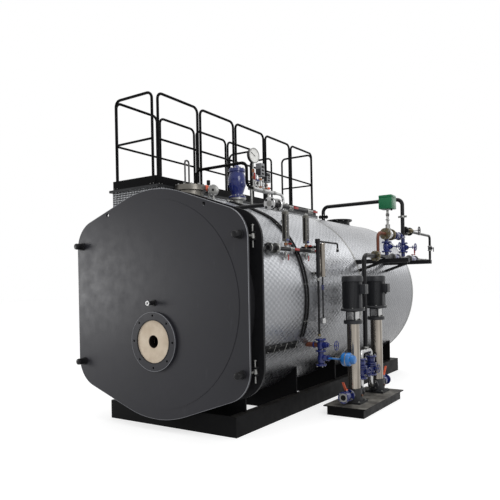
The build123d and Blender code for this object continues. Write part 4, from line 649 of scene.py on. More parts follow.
guard("near_rail_tubes", "near_rails", lengthwise(-198, 320, 779, 722, 5))
guard("far_rail_tubes", "far_rails", lengthwise(-879, 300, 766.25, 709.25, 4))
guard("end_rail_tubes", "end_rails", crosswise(-843, -234, (262, 4215)))
guard("landing_rail_tubes", "landing_rails", crosswise(-1400, -940, (3350, 4000)))


# Door fittings

def outline_of(node, y):
    """The outer edge of a packed plate on the plane at y, as (x, z) points in turn."""
    flat = [v.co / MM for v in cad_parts[node].data.vertices if abs(v.co.y - y * MM) < 1e-4]
    spots = sorted({(round(co.x, 2), round(co.z, 2)) for co in flat})
    return [spots[i] for i in convex_hull_2d(spots)]


def highlight_rim(piece, node, face_y, middle_z):
    """A narrow pale ribbon round the front edge of a packed plate, a painted edge highlight."""
    edge = outline_of(node, face_y)
    middle = Vector((0, 0, middle_z))
    loops = ((-4, -0.6), (-0.4, -0.6), (0.6, 0.6), (0.6, 6))
    ribbon = []
    for inset, depth in loops:
        for x, z in edge:
            out = Vector((x, 0, z)) - middle
            ribbon.append(middle + out * (1 + inset / out.length) + ALONG * (face_y + depth))
    piece.add(ribbon, bands(len(loops), len(edge)), EDGE_HIGHLIGHT)


@fills("steel", body="door")
def door_trim(piece):
    burner_face = at(0, -34, BURNER_Z)
    piece.ring(burner_face, -ALONG, 246, 238.5, 4, PLATE, 64)
    piece.lathe(at(0, -22, BURNER_Z), ALONG, ((71.6, 0), (71.6, 85)), SOOT, 48)
    # Painted edge highlights round the door and the burner flange.
    highlight_rim(piece, "front_door", DOOR_FACE_Y, PLATE_CENTRE_Z)
    highlight_rim(piece, "burner_flange", burner_face.y, BURNER_Z)


@fills("steel", "sight_tube", body="door")
def sight_glass(piece):
    foot = at(0, -4, AXIS_Z)
    piece.disc(foot, -ALONG, 36, 14, PLATE, 36)
    piece.bolts(foot - ALONG * 14, -ALONG, 29, 4, 3.5, 4, PLATE)
    piece.lathe(foot, -ALONG, ((21.5, 14), (21.5, 85), (27, 87)), PLATE, 36)
    piece.ring(foot - ALONG * 87, -ALONG, 28.5, 12.5, 17, STEEL, 36)
    piece.disc(foot - ALONG * 88, -ALONG, 12.8, 12, RUBBER, 24, 1)


@fills("black_steel", "door_nuts", body="door")
def long_nuts(piece):
    """Hollow nuts, wider on the left where the bolts slide out as the door swings."""
    for side, bore in ((-1, 28.5), (1, 13.8)):
        outside = ((bore, 22), (37, 22), (37.5, 28), (37.5, 94), (34, 103), (26, 108), (12, 110), (0, 110))
        inside = ((0, 106), (bore * 0.8, 104), (bore, 98), (bore, 22))
        for height in (715, 2115):
            seat = at(side * 1188, 0, height)
            piece.ring(seat, -ALONG, 45.5, bore, 22, PLATE, 36, 3)
            piece.lathe(seat, -ALONG, outside + inside, BLACK, 36)
            piece.ring(seat - ALONG * 34, -ALONG, 38.5, 37.2, 10, PLATE, 36, 1)


# Top of the shell

@fills("cladding")
def cladding_bands(piece):
    foot, crown = SHELL_RADIUS + 0.2, SHELL_RADIUS + 2.4
    for back, width in ((287, 34), (2900, 50), (5166, 32)):
        profile = ((foot, 0), (crown, 1), (crown, width - 1), (foot, width))
        piece.lathe(at(0, back, AXIS_Z), ALONG, profile, DULL, 160)


@fills("blue_iron", "steam_valve")
def steam_stop_valve(piece):
    foot = at(330, 1160, 2700)
    body = (
        (80, 22), (73, 34), (74, 58), (86, 92), (100, 132), (109, 180),
        (112, 228), (108, 264), (99, 292), (91, 312), (90, 330),
    )
    piece.flange(foot, UP, 111.5, 22, BLUE, 8, 10)
    piece.lathe(foot, UP, body, BLUE, 48)
    piece.flange(foot + UP * 330, UP, 103.5, 40, BLUE, 8, 10)
    piece.lathe(foot, UP, ((50, 370), (43, 378), (36, 400), (20, 418), (0, 419)), BLUE)
    for side in BOTH:
        boss = foot + by(side * 82, 0, 180)
        piece.lathe(boss, SIDE * side, ((60, 0), (54, 18), (36, 30), (0, 33)), BLUE, 28)
        piece.box(foot + by(0, side * 98, 180), (-8, -12, -85), (8, 12, 85), BLUE, 5)


@fills("steel")
def vent_valve(piece):
    """A vent with its round cap and knob, and the sensor beside it."""
    foot = at(320, 690, 2630)
    face = foot + UP * 112
    way = Vector((0.5, -0.86, 0))
    cap = ((0, 0), (46, 2), (66, 12), (66, 40), (50, 50), (20, 54), (0, 54))
    piece.rod(foot, foot + UP * 75, 14, DULL)
    piece.lathe(face - way * 26, way, cap, DULL, 40)
    piece.bolts(face + way * 18, way, 56, 8, 6, 7, STEEL)
    piece.nut(face + way * 27, way, 16, 10, RUBBER)
    knob = face - SIDE * 110
    piece.rod(face, knob + UP * 36, 11, DULL, 14)
    piece.disc(knob + UP * 4, UP, 34, 66, ORANGE, 20, 10)
    sensor = at(160, 800, 2655)
    piece.nut(sensor, UP, 24, 30, DULL, 2)
    piece.rod(sensor, sensor + UP * 190, 9, DULL, 12)
    piece.disc(sensor + UP * 180, UP, 22, 60, RUBBER, 18, 5)


@fills("steel")
def manhole_bolts(piece):
    piece.bolts(at(60, 580, 2800), UP, 168, 12, 11, 14, DULL)


@fills("black_steel", "balance_pipe")
def balance_tube(piece):
    """A pipe that is black to its lower bend and bright beyond it."""
    radius, bend, top_z = 17.5, 70, 3013
    post = at(60, 700, 2800)
    joint = at(BALANCE_X, 820, BALANCE_Z)
    drop = at(BALANCE_X, 1500, 0)
    piece.disc(post, UP, 30, 12, DULL, 28)
    corners = [at(60, 700, top_z), at(BALANCE_X, 700, top_z), at(BALANCE_X, 700, BALANCE_Z)]
    piece.tube([post, *corners, joint], radius, bend, RAIL, 18)
    piece.tube([joint, drop + UP * BALANCE_Z, drop + UP * 2400], radius, bend, STEEL, 18)
    piece.ring(joint - ALONG * 10, ALONG, 22.5, 17, 30, DULL, 28)
    piece.disc(drop + UP * 2412, UP, 32, 14, DULL, 28)
    piece.pair(drop + UP * 2610, UP, 60, 15, DULL)
    for back in (1020, 1270):
        piece.ring(at(BALANCE_X, back, BALANCE_Z), ALONG, 23.5, 17, 36, DULL, 28)


# Instruments on the header

@fills("gauge_face", "pressure_gauge")
def dial_gauge(piece):
    """A pressure gauge with a bare dial, its ticks and pointer, on a post with a red cock."""
    lean = math.radians(8)
    facing = Vector((math.cos(lean), -math.sin(lean), 0))
    across = facing.cross(UP)
    post = at(HEADER_X, 1500, 0)
    centre = post + UP * 3300
    dial = centre + facing * 22.5
    case = ((0, 0), (80, 0), (91, 4), (92, 10), (92, 46))
    piece.lathe(centre - facing * 27.5, facing, case, BLACK, 48)
    piece.ring(centre + facing * 18.5, facing, 99.5, 89, 9, DULL, 56)
    piece.disc(dial - facing * 2, facing, 89.5, 2, WHITE, 48, 0.2)
    for step in range(31):
        turn = math.radians(-135 + 9 * step)
        out = UP * math.cos(turn) - across * math.sin(turn)
        inner = 66 if step % 5 == 0 else 73
        piece.rod(dial + out * inner, dial + out * 80, 1.1, RUBBER, 5)
    swing = math.radians(60)
    pointer = UP * math.cos(swing) + across * math.sin(swing)
    raised = dial + facing * 2
    piece.rod(raised - pointer * 22, raised + pointer * 68, 3.4, RUBBER, 6)
    piece.disc(dial, facing, 7, 3.5, RUBBER, 20, 0.6)
    piece.rod(post + UP * HEADER_TOP_Z, post + UP * 3215, 10.5, DULL)
    piece.nut(post + UP * 3000, UP, 20, 30, BRASS)
    piece.nut(post + UP * 3080, UP, 18, 45, BRASS)
    piece.box(post, (12, -12, 2985), (28, 12, 3075), RED)


def switch_box(piece, back, low, height, lid):
    """A switch box with a lid, a cover plate and three windows, on its nipple."""
    half, split = 44.5, height * 0.62
    lid_half = half * 0.96
    middle = at(HEADER_X, back, 0)
    seat = middle + UP * low
    piece.box(seat, (-half, -half, 0), (half, half, split), BOX_GREY, 5)
    piece.box(seat, (-lid_half, -lid_half, split), (lid_half, lid_half, height - 1), lid, 6)
    piece.box(seat, (-38, -46.5, 12), (38, -44, height * 0.58), IRON, 1)
    for share in (0.12, 0.38, 0.64):
        piece.box(seat + UP * height * share, (44, -26, 0), (46, 26, height * 0.15), RUBBER, 0.8)
    piece.rod(middle + UP * HEADER_TOP_Z, seat, 12.5, DULL)
    piece.nut(seat - UP * 50, UP, 21.5, 28, BRASS)
    piece.nut(middle + UP * 2900, UP, 21.5, 22, BRASS)


@fills("grey_paint", "pressure_switches")
def switch_boxes(piece):
    """The switch boxes, with a safety valve, two cocks and a knob between them."""
    switch_box(piece, 1665, 3050, 175, BOX_GREY)
    switch_box(piece, 1810, 2990, 130, IRON)
    safety = at(HEADER_X, 1585, 2884)
    inlet = ((14, 0), (14, 16), (30, 18), (30, 30), (20, 34), (26, 61), (26, 91))
    piece.lathe(safety, UP, inlet, DULL, 24)
    piece.lathe(safety, UP, ((32, 91), (33, 96), (33, 112), (32, 116)), BLUE, 24)
    piece.lathe(safety, UP, ((24, 116), (24, 166), (16, 176), (9, 180), (0, 180)), STEEL, 24)
    piece.disc(at(HEADER_X, 1865, 2905), UP, 20, 30, ORANGE, 18, 4)
    for back, height in ((1545, 2945), (1735, 2940)):
        tap = at(HEADER_X, back, height)
        piece.rod(at(HEADER_X, back, HEADER_TOP_Z), tap + UP * 90, 9, DULL, 14)
        piece.cock(tap, UP, SIDE, STEEL, 21)
        piece.disc(tap + SIDE * 34, SIDE, 20, 9, BLACK, 20, 2)
        piece.nut(tap + UP * 60, UP, 17, 26, STEEL)


# Level pipes, gauges, probe and chamber

@fills("black_steel", "level_manifolds")
def level_pipes(piece):
    for front, rear, height, radius, face, boss in (
        (600, 1450, LEVEL_HIGH_Z, 71.5, STEEL, DULL),
        (560, 1600, LEVEL_LOW_Z, 57.5, DULL, BLACK),
    ):
        end = at(LEVEL_X, front, height)
        tail = at(LEVEL_X, rear, height)
        piece.rod(end - ALONG * 4, tail, 23.5, BLACK, 20)
        piece.stub(end + ALONG * 40, 23.5, BLACK, 20)
        piece.disc(end - ALONG * 15, ALONG, radius, 15, BLACK, 36)
        piece.flange(end - ALONG * 17, -ALONG, radius, 15, face, 4, 10, IRON)
        piece.disc(end - ALONG * 32, -ALONG, radius * 0.45, 4, boss, 28, 1)
        piece.pair(end + ALONG * 126, -ALONG, radius, 16, face, 4, 9)
        piece.ring(tail - ALONG * 40, ALONG, 29, 23.5, 38, DULL, 28)


def level_column(piece, middle):
    """A bolted column with a sight slot, its top nut, drain cock and red cocks."""
    low, high = 2096.3, 2434.7
    depth = 27.5
    width = 34.5
    piece.box(middle, (-depth, -width, low), (depth, width, high), GREY)
    for face in BOTH:
        piece.box(middle, (-10, face * width, low + 30), (10, face * 35.2, high - 30), RUBBER, 0.3)
        for step in range(6):
            for dx in (-20, 20):
                spot = middle + by(dx, face * width, low + 35 + step * 53)
                piece.nut(spot, ALONG * face, 5, 4, DULL, 0.6)
    for step in range(5):
        for dy in (-24, 24):
            piece.nut(middle + by(depth, dy, low + 45 + step * 62), SIDE, 6, 5, STEEL, 0.8)
    piece.box(middle, (depth, -12, low + 30), (29, 12, high - 30), IRON, 0.6)
    piece.box(middle, (depth, -30, low + 6), (29.5, 30, low + 28), BLUE, 0.8)
    piece.rod(middle + UP * 2034.5, middle + UP * low, 13.5, DULL)
    piece.rod(middle + UP * high, middle + UP * 2465.7, 13.5, DULL)
    tap = middle + UP * 2065.3
    piece.nut(tap - UP * 16, UP, 22, 32, BRASS)
    piece.rod(tap, tap + SIDE * 34, 8.5, DULL, 12)
    piece.box(tap, (34, -8.5, -8.5), (74, 8.5, 8.5), RED, 3)
    piece.cock(middle + UP * 1945, UP, SIDE, DULL, 19, -UP)
    piece.rod(middle + UP * 1985, middle + UP * 1900, 8.5, DULL, 12)
    piece.cock(middle + by(0, 115, LEVEL_HIGH_Z), ALONG, SIDE, DULL, 29, ALONG)
    piece.cock(middle + by(0, 125, LEVEL_LOW_Z), ALONG, SIDE, DULL, 29, ALONG)
    piece.nut(middle + UP * 2434, UP, 30, 18, DULL)


@fills("grey_paint", "level_gauges")
def level_columns(piece):
    for back in (905, 1385):
        level_column(piece, at(LEVEL_X, back, 0))


@fills("black_steel", "probe_column")
def probe_body(piece):
    """The level probe with its cable arm."""
    stand = at(PROBE_X, PROBE_BACK, 0)
    tip = at(PROBE_X, 2010, 0)
    body = ((0, 1690), (23.5, 1690), (23.5, 2098), (31.5, 2101), (31.5, 2146), (26, 2150), (0, 2150))
    piece.lathe(stand, UP, body, BLACK)
    piece.tube([stand + UP * 2120, tip + UP * 2120, tip + UP * 2040], 11.5, 30, RUBBER)
    piece.nut(tip + UP * 2011, UP, 17.5, 32, RUBBER, 2)
    piece.lathe(tip + UP * 2043, UP, ((15.5, 0), (15.5, 10), (12.5, 14)), DULL, 20)
    for height in TAP_HEIGHTS:
        piece.stub(stand + UP * height, 13.5, BLACK)
        piece.ring(stand + by(-60, 0, height), SIDE, 20, 13, 18, DULL, 24)


@fills("steel", "sample_chamber")
def chamber_body(piece):
    """The sample chamber."""
    stand = at(PROBE_X, CHAMBER_BACK, 0)
    foot = ((0, 1690), (40, 1690), (41.5, 1692), (41.5, 1702), (35.5, 1705))
    head = ((35.5, 2084), (41.5, 2087), (41.5, 2098), (40, 2100), (0, 2100))
    piece.lathe(stand, UP, foot + head, STAINLESS, 36)
    piece.bolts(stand + UP * 2099.5, UP, 32, 6, 4.5, 6, DULL)
    for height in TAP_HEIGHTS:
        piece.stub(stand + UP * height, 13.5, STAINLESS)
        piece.ring(stand + by(-68, 0, height), SIDE, 21, 13, 20, DULL, 24)


@fills("black_steel", "drain_lines")
def drain_tubes(piece):
    probe = at(PROBE_X, PROBE_BACK, 0)
    chamber = at(PROBE_X, CHAMBER_BACK, 0)
    pot = ((0, 1116), (30, 1116), (43.5, 1122), (43.5, 1172), (41, 1180), (18, 1189), (12, 1190))
    piece.rod(probe + UP * 1690, probe + UP * 968, 13.5, BLACK)
    piece.ring(probe + UP * 1640, UP, 21.5, 13, 36, DULL, 24)
    piece.ring(probe + UP * 972, UP, 21.5, 13, 26, BRONZE, 24)
    piece.rod(chamber + UP * 1690, chamber + UP * 1190, 9.5, BLACK, 14)
    piece.cock(chamber + UP * 1560, UP, SIDE, BLUE, 18)
    piece.lathe(chamber, UP, pot, STEEL)


# Blowdown valve and its actuator
PURGE_LOW_Z = 706
PURGE_HIGH_Z = 862


@fills("blue_iron", "blowdown_valve")
def purge_valve(piece):
    """Two valves one above the other, the upper with a handwheel and a pipe from the shell."""
    base = at(PROBE_X, PURGE_BACK, 0)
    lower = ((36, 632), (40, 645), (45.5, 675), (45.5, 708), (38, 745), (36, 780))
    neck = ((37.5, 30), (37.5, 70), (30, 80), (30, 92), (37.5, 96), (37.5, 110), (0, 110))
    bonnet = ((37.5, 30), (37.5, 84), (26, 92), (26, 109), (12, 112))
    for height, way in ((632, -UP), (780, UP), (918, UP)):
        piece.flange(base + UP * height, way, 65.5, 22, BLUE)
    piece.lathe(base, UP, lower, BLUE, 36)
    piece.lathe(base, UP, ((36, 802), (45.5, 845), (45.5, 880), (36, 918)), BLUE, 36)
    hub = base + UP * PURGE_HIGH_Z
    piece.rod(hub, hub - SIDE * 200, 29.5, BROWN, 24)
    piece.ring(hub - SIDE * 95, SIDE, 42, 29, 16, BLUE, 32)
    piece.lathe(base + UP * PURGE_LOW_Z, SIDE, neck, BLUE, 28)
    piece.lathe(hub, SIDE, bonnet, BLUE, 28)
    piece.bolts(hub + SIDE * 84, SIDE, 30, 4, 5, 6, DULL)
    piece.rod(hub + SIDE * 90, hub + SIDE * 215, 8.5, STEEL, 14)
    piece.wheel(hub + SIDE * 209, SIDE, 61, 6, BLUE)


@fills("blue_paint", "blowdown_actuator")
def purge_drive(piece):
    """The actuator: a yoke with a spring, a drum with a clamp band, and its cap."""
    yoke = at(PROBE_X + 110, PURGE_BACK, PURGE_LOW_Z)
    drum = yoke + SIDE * 170
    for shift in (-25, 25):
        piece.rod(yoke + ALONG * shift, drum + ALONG * shift, 8.5, SKY, 12)
    piece.rod(yoke, drum, 6, STEEL, 12)
    for step in range(7):
        piece.torus(yoke + SIDE * (50 + 12 * step), SIDE, 12.5, 2.8, DULL, 20, 6)
    piece.lathe(drum, SIDE, ((0, 0), (50, 0), (72, 10), (79, 22), (79, 56)), SKY, 40)
    piece.lathe(drum, SIDE, ((79, 56), (79.8, 58), (79.8, 68), (79, 70)), DULL, 40)
    piece.lathe(drum, SIDE, ((79, 70), (79, 100), (70, 114), (52, 120)), SKY, 40)
    piece.bolts(drum + SIDE * 116, SIDE, 60, 6, 5, 6, DULL)
    piece.lathe(drum, SIDE, ((51.5, 120), (51.5, 150), (44, 166), (18, 170), (0, 170)), SKY)


# Pumps
RIB_COUNT = 44
RIB_BOTTOM_Z = 1300
RIB_TOP_Z = 1620


def pump_stands():
    return [on_line(back, 0) for back in PUMP_BACKS]


@fills("steel", "pump_tubes")
def stage_casings(piece):
    foot = ((0, 300), (80, 300), (80, 306), (78.5, 310))
    head = ((78.5, 1090), (80, 1094), (80, 1100), (0, 1100))
    for stand in pump_stands():
        piece.lathe(stand, UP, foot + head, STAINLESS, 48)


@fills("black_iron", "pump_heads")
def lanterns(piece):
    """The open heads under the motors, with bright guard plates and the coupling inside."""
    coupling = ((25, 1145), (25, 1190), (40, 1192), (40, 1225), (25, 1227), (25, 1260))
    for stand in pump_stands():
        piece.disc(stand + UP * 1100, UP, 117, 45, IRON, 40, 5)
        piece.bolts(stand + UP * 1145, UP, 100, 4, 10, 12, DULL)
        for face in BOTH:
            wall = stand + ALONG * face * 73.5
            outside = wall + ALONG * face * 10.5
            piece.box(wall, (-60, -10.5, 1145), (60, 10.5, 1260), IRON)
            piece.box(outside, (-44, -1, 1156), (44, 1, 1250), STEEL, 0.5)
            piece.box(stand + SIDE * face * 60, (-1, -62, 1150), (1, 62, 1250), STEEL, 0.5)
        piece.lathe(stand, UP, coupling, DULL, 28)


def motor_ribs(piece, stand):
    """Tapered ribs all round but for the gap behind the terminal box."""
    section = ((115, -1), (115, 1), (129.5, 0.6), (129.5, -0.6))
    faces = ((3, 2, 1, 0), (4, 5, 6, 7), (0, 1, 5, 4), (1, 2, 6, 5), (2, 3, 7, 6), (3, 0, 4, 7))
    for out in circle(SIDE, ALONG, RIB_COUNT, 0.5):
        if out.x > 0.90:
            continue
        across = UP.cross(out) * 2.2
        corners = [
            stand + out * reach + across * share + UP * height
            for height in (RIB_BOTTOM_Z, RIB_TOP_Z)
            for reach, share in section
        ]
        piece.add(corners, faces, IRON)


def fan_grille(piece, middle):
    for step in range(5):
        piece.torus(middle, UP, 18 + 19 * step, 2.2, DULL, 40, 6)
    hub = middle + UP * 0.5
    for arm in circle(SIDE, ALONG, 8)[:4]:
        piece.rod(hub - arm * 104, hub + arm * 104, 2.2, DULL, 6)


def terminal_box(piece, stand):
    for inner, outer in ((112, 172), (172, 189)):
        piece.box(stand, (inner, -51, 1471), (outer, 51, 1589), IRON, 6)
    for dy in (-40, 40):
        for z in (1482, 1578):
            piece.disc(stand + by(188.5, dy, z), SIDE, 5, 1.2, DULL, 8, 0.3)
    piece.nut(stand + by(145, 0, 1452), UP, 14, 20, RUBBER)


@fills("black_iron", "pump_motors")
def ribbed_motors(piece):
    cowl = ((126, 1622), (134.5, 1626), (134.5, 1676), (128, 1692))
    crown = ((112, 1699), (104, 1699), (102, 1694), (0, 1694))
    for stand in pump_stands():
        piece.disc(stand + UP * 1260, UP, 149, 30, IRON, 48, 5)
        piece.bolts(stand + UP * 1290, UP, 140, 4, 7, 10, DULL, 0.25)
        piece.lathe(stand, UP, ((118, 1290), (118, 1625)), IRON, 48)
        motor_ribs(piece, stand)
        piece.lathe(stand, UP, cowl + crown, IRON, 56)
        fan_grille(piece, stand + UP * 1696)
        terminal_box(piece, stand)


@fills("steel")
def pump_foot_bolts(piece):
    for stand in pump_stands():
        for dx in (-100, 100):
            for dy in (-100, 100):
                piece.disc(stand + by(dx, dy, 145), UP, 14, 3, DULL, 18, 0.6)
                piece.nut(stand + by(dx, dy, 148), UP, 10, 10, DULL, 1.2)
        piece.nut(stand + by(98, 0, 215), SIDE, 14, 12, BRASS)


# Suction valves, discharge valves and the manifold between the pumps

@fills("blue_iron", "suction_valves")
def inlet_valves(piece):
    body = ((44, 20), (47, 34), (51.5, 60), (51.5, 120), (47, 146), (44, 160))
    for back, side in zip(PUMP_BACKS, BOTH):
        way = ALONG * side
        start = on_line(back + side * 150, SUCTION_Z)
        for distance in (0, 160):
            piece.flange(start + way * distance, way, 71.5, 20, BLUE)
        piece.lathe(start, way, body, BLUE, 36)
        piece.ring(start + way * 179.5, way, 52, 34, 1.5, DULL, 40, 0.4)
        piece.disc(start + way * 180, way, 34, 0.6, RUBBER, 32, 0.1)
        stem = start + way * 90
        piece.disc(stem + UP * 46, UP, 26, 20, BLUE, 24)
        piece.rod(stem + UP * 46, stem + UP * 74.5, 13.5, STEEL)


@fills("blue_iron", "discharge_valves")
def outlet_valves(piece):
    for back in OUTLET_BACKS:
        stack = on_line(back, 0)
        for height, way in ((400, -UP), (620, UP)):
            piece.flange(stack + UP * height, way, 77.5, 20, BLUE, 4, 9)
        piece.lathe(stack, UP, ((45, 400), (50, 415), (59.5, 450), (59.5, 500), (46, 528)), BLUE, 36)
        for height in (505, 530):
            piece.ring(stack + UP * height, UP, 77.5, 30, 18, BLUE, 40)
        piece.lathe(stack, UP, ((46, 548), (56, 575), (56, 600), (45, 620)), BLUE, 36)
        bonnet = stack + UP * 470
        piece.lathe(bonnet, SIDE, ((33, 50), (33, 78), (26, 86), (12, 90), (12, 108)), BLUE, 28)
        piece.wheel(bonnet + SIDE * 110, SIDE, 60, 6, BLUE)


@fills("black_steel", "discharge_manifold")
def manifold_tube(piece):
    ends = [on_line(back, SUCTION_Z) for back in (2010, 2480)]
    low = [on_line(back, SUCTION_Z) for back in OUTLET_BACKS]
    high = [on_line(back, 720) for back in OUTLET_BACKS]
    piece.tube([ends[0], low[0], *high, low[1], ends[1]], 29.5, 60, STEEL, 24)
    for end, way in zip(ends, (ALONG, -ALONG)):
        piece.flange(end, way, 71.5, 18, IRON)


# Feed water station
PIPE_RADIUS = 29.5
PIPE_BEND = 90
RISER_BACK = 2245
RISER_FOOT_Z = 750.3
SPINDLE = on_line(3150, 0)
STATION_FOOT_Z = FEED_LOW_Z + 30.3


@fills("black_steel", "feed_riser")
def riser_tube(piece):
    foot, corner = on_line(RISER_BACK, RISER_FOOT_Z), on_line(RISER_BACK, FEED_LOW_Z)
    piece.tube([foot, corner, on_line(4450, FEED_LOW_Z)], PIPE_RADIUS, PIPE_BEND, BLACK, 24, 10)
    piece.disc(on_line(RISER_BACK, 752), UP, 40, 22, DULL, 28)
    piece.pair(on_line(2650, FEED_LOW_Z), -ALONG, 71.5, 20, BRONZE, 6)
    for back in (3300, 3520, 4060, 4360):
        piece.flange(on_line(back, FEED_LOW_Z), ALONG, 60, 18, DULL, 4, 7)
    for back, body in (
        (3318, ((36, 0), (52, 50), (52, 150), (36, 202))),
        (4078, ((36, 0), (50, 70), (50, 212), (36, 282))),
    ):
        piece.lathe(on_line(back, FEED_LOW_Z), ALONG, body, BLUE)
    piece.rod(on_line(4250, FEED_LOW_Z), on_line(4250, 2039.5), 13.5, STEEL)


@fills("steel", "control_valve")
def regulating_valve(piece):
    foot, corner = on_line(2750, STATION_FOOT_Z), on_line(2750, FEED_HIGH_Z)
    body = ((44, 0), (52, 20), (69.5, 65), (69.5, 135), (52, 180), (44, 200))
    strainer = ((36, 0), (52, 50), (52, 130), (36, 180))
    neck = ((50, 2345), (50, 2378), (33, 2384), (33, 2440), (16, 2446), (12.5, 2452), (12.5, 2660))
    piece.tube([foot, corner, on_line(3040, FEED_HIGH_Z)], 21.5, PIPE_BEND, BROWN, 24, 10)
    piece.ring(on_line(2750, 2002), UP, 36, 21, 22, BROWN, 32)
    for back, way in ((3050, -ALONG), (3250, ALONG)):
        piece.flange(on_line(back, FEED_HIGH_Z), way, 83.5, 20, BRONZE, 6, 9)
    piece.lathe(on_line(3050, FEED_HIGH_Z), ALONG, body, STEEL, 40)
    piece.rod(on_line(3270, FEED_HIGH_Z), on_line(3830, FEED_HIGH_Z), PIPE_RADIUS, BLUE, 24)
    for back, way in ((3400, ALONG), (3616, -ALONG)):
        piece.flange(on_line(back, FEED_HIGH_Z), way, 60, 18, BLUE, 4, 7)
    piece.lathe(on_line(3418, FEED_HIGH_Z), ALONG, strainer, BLUE)
    piece.lathe(SPINDLE, UP, neck, DULL)
    piece.bolts(SPINDLE + UP * 2378, UP, 42, 4, 6, 7, DULL)
    for shift in (-28, 28):
        piece.rod(SPINDLE + by(0, shift, 2384), SPINDLE + by(0, shift, 2660), 7.5, DULL, 14)
    piece.box(SPINDLE, (-18, -38, 2500), (18, 38, 2516), DULL, 2)
    piece.box(SPINDLE, (-20, -20, 2560), (20, 20, 2600), BLACK, 3)


@fills("green_plastic", "feed_actuator")
def servo_housing(piece):
    for half, low, high, ease in ((99.5, 2661, 2822, 14), (98.5, 2820, 2859.5, 12)):
        piece.box(SPINDLE, (-half, -half, low), (half, half, high), GREEN, ease)
    for dx in (-78, 78):
        for dy in (-78, 78):
            piece.disc(SPINDLE + by(dx, dy, 2859), UP, 6, 1.2, DULL, 10, 0.3)
    piece.nut(SPINDLE + by(60, 0, 2640), UP, 14, 22, RUBBER)
    piece.ring(SPINDLE + UP * 2650, UP, 40, 14, 12, STEEL, 36)


@fills("blue_iron", "globe_valves")
def globe_bodies(piece):
    """Two globe valves between the low and the high line, with yokes and handwheels."""
    for back, top in ((3090, 2229.7), (3800, 2269.7)):
        foot, head = on_line(back, STATION_FOOT_Z), on_line(back, top)
        hub = (foot + head) / 2
        for way in (-UP, UP):
            piece.flange(hub + way * 55, way, 71.5, 20, BLUE)
        piece.rod(foot, hub - UP * 67, PIPE_RADIUS, BLUE, 24)
        piece.rod(hub + UP * 67, head, PIPE_RADIUS, BLUE, 24)
        piece.lathe(hub, UP, ((40, -55), (51.5, -25), (51.5, 25), (40, 55)), BLUE, 36)
        piece.lathe(hub, SIDE, ((40, 30), (40, 66), (26, 72), (26, 82)), BLUE, 28)
        for shift in (-19, 19):
            piece.rod(hub + by(78, shift, 0), hub + by(150, shift, 0), 6, BLUE, 12)
        piece.disc(hub + SIDE * 148, SIDE, 26, 10, BLUE, 24)
        piece.rod(hub + SIDE * 70, hub + SIDE * 200, 7.5, STEEL, 12)
        piece.wheel(hub + SIDE * 194, SIDE, 61, 6.5, BLUE)


@fills("black_steel", "over_pipe")
def over_tube(piece):
    """The pipe from the station over to the top of the shell, with its pipe clamp."""
    top_z = 2885
    shell_end = at(200, OVER_BACK, 0)
    drop = on_line(OVER_BACK, 0)
    route = [shell_end + UP * 2660, shell_end + UP * top_z, drop + UP * top_z, drop + UP * 2330.3]
    piece.tube(route, PIPE_RADIUS, PIPE_BEND, BLACK, 24, 10)
    piece.flange(shell_end + UP * 2718, UP, 79.5, 20, FRAME, 6, 9)
    piece.flange(shell_end + UP * 2716, -UP, 79.5, 14, FRAME, 6)
    clamp = drop + UP * 2600
    piece.ring(clamp, UP, 36, PIPE_RADIUS, 30, DULL, 32)
    for side in BOTH:
        piece.box(clamp + SIDE * side * 50, (-18, -8, 0), (18, 8, 30), DULL, 2)
    piece.flange(drop + UP * 2352, -UP, 71.5, 20, BLACK)


@fills("black_steel", "bypass_loop")
def bypass_tube(piece):
    """The bypass with its globe valve, a drain valve on its upright end, and unions."""
    end_back = 5230
    body = ((34, 20), (40, 35), (45.5, 80), (45.5, 150), (40, 195), (34, 210))
    corners = [on_line(end_back, FEED_LOW_Z), on_line(end_back, BYPASS_Z)]
    route = [on_line(4450, FEED_LOW_Z), *corners, on_line(OVER_BACK + 30.3, BYPASS_Z)]
    piece.tube(route, 20.5, 60, BLACK, 20, 8)
    start = on_line(OVER_BACK + 90.3, BYPASS_Z)
    for distance, way in ((20, -ALONG), (210, ALONG)):
        piece.flange(start + ALONG * distance, way, 65.5, 20, BLACK)
    piece.lathe(start, ALONG, body, BRONZE)
    hub = start + ALONG * 115
    piece.lathe(hub, SIDE, ((34, 30), (34, 70), (24, 78), (20, 100), (12, 104)), BRONZE, 28)
    piece.rod(hub + SIDE * 90, hub + SIDE * 200, 7.5, STEEL, 12)
    piece.wheel(hub + SIDE * 194, SIDE, 61, 6.5, IRON)
    drain = (corners[0] + corners[1]) / 2
    for side in BOTH:
        piece.nut(drain + UP * (side * 36 - 9), UP, 38, 18, DULL, 2)
    piece.lathe(drain, UP, ((26, -30), (32, -14), (32, 14), (26, 30)), IRON, 24)
    piece.rod(drain, drain + SIDE * 62, 7.5, STEEL, 12)
    piece.lathe(drain, SIDE, ((24, 20), (24, 42), (16, 46)), IRON, 20)
    piece.box(drain, (58, -10, -62), (70, 10, 18), IRON, 3)
    for union in (on_line(4550, FEED_LOW_Z), on_line(4950, FEED_LOW_Z), on_line(4600, BYPASS_Z)):
        piece.ring(union, ALONG, 25.5, 19.5, 30, DULL, 24)


@fills("red_plastic", body="station_lever")
def station_grip(piece):
    foot = on_line(4366, 2044)
    piece.rod(foot, foot + UP * 120, 8.5, RED, 14)
    piece.lathe(foot, UP, ((8.5, 30), (12, 34), (12.5, 112), (9, 124), (0, 126)), RED, 20)


# Conduits round the shell, the bundle along it, and their clips
LIE = SHELL_RADIUS + 12.3
CONDUIT_BACKS = (1206, 1271)
BUNDLE_RADIUS = 11.8
BUNDLE_ANGLES = (-23.5, -26.5)
CABLE_RADIUS = 7
CABLE_ANGLES = (-24.5, -25.4)


def on_shell(back, degrees, reach=LIE):
    lean = math.radians(degrees)
    return at(reach * math.cos(lean), back, AXIS_Z + reach * math.sin(lean))


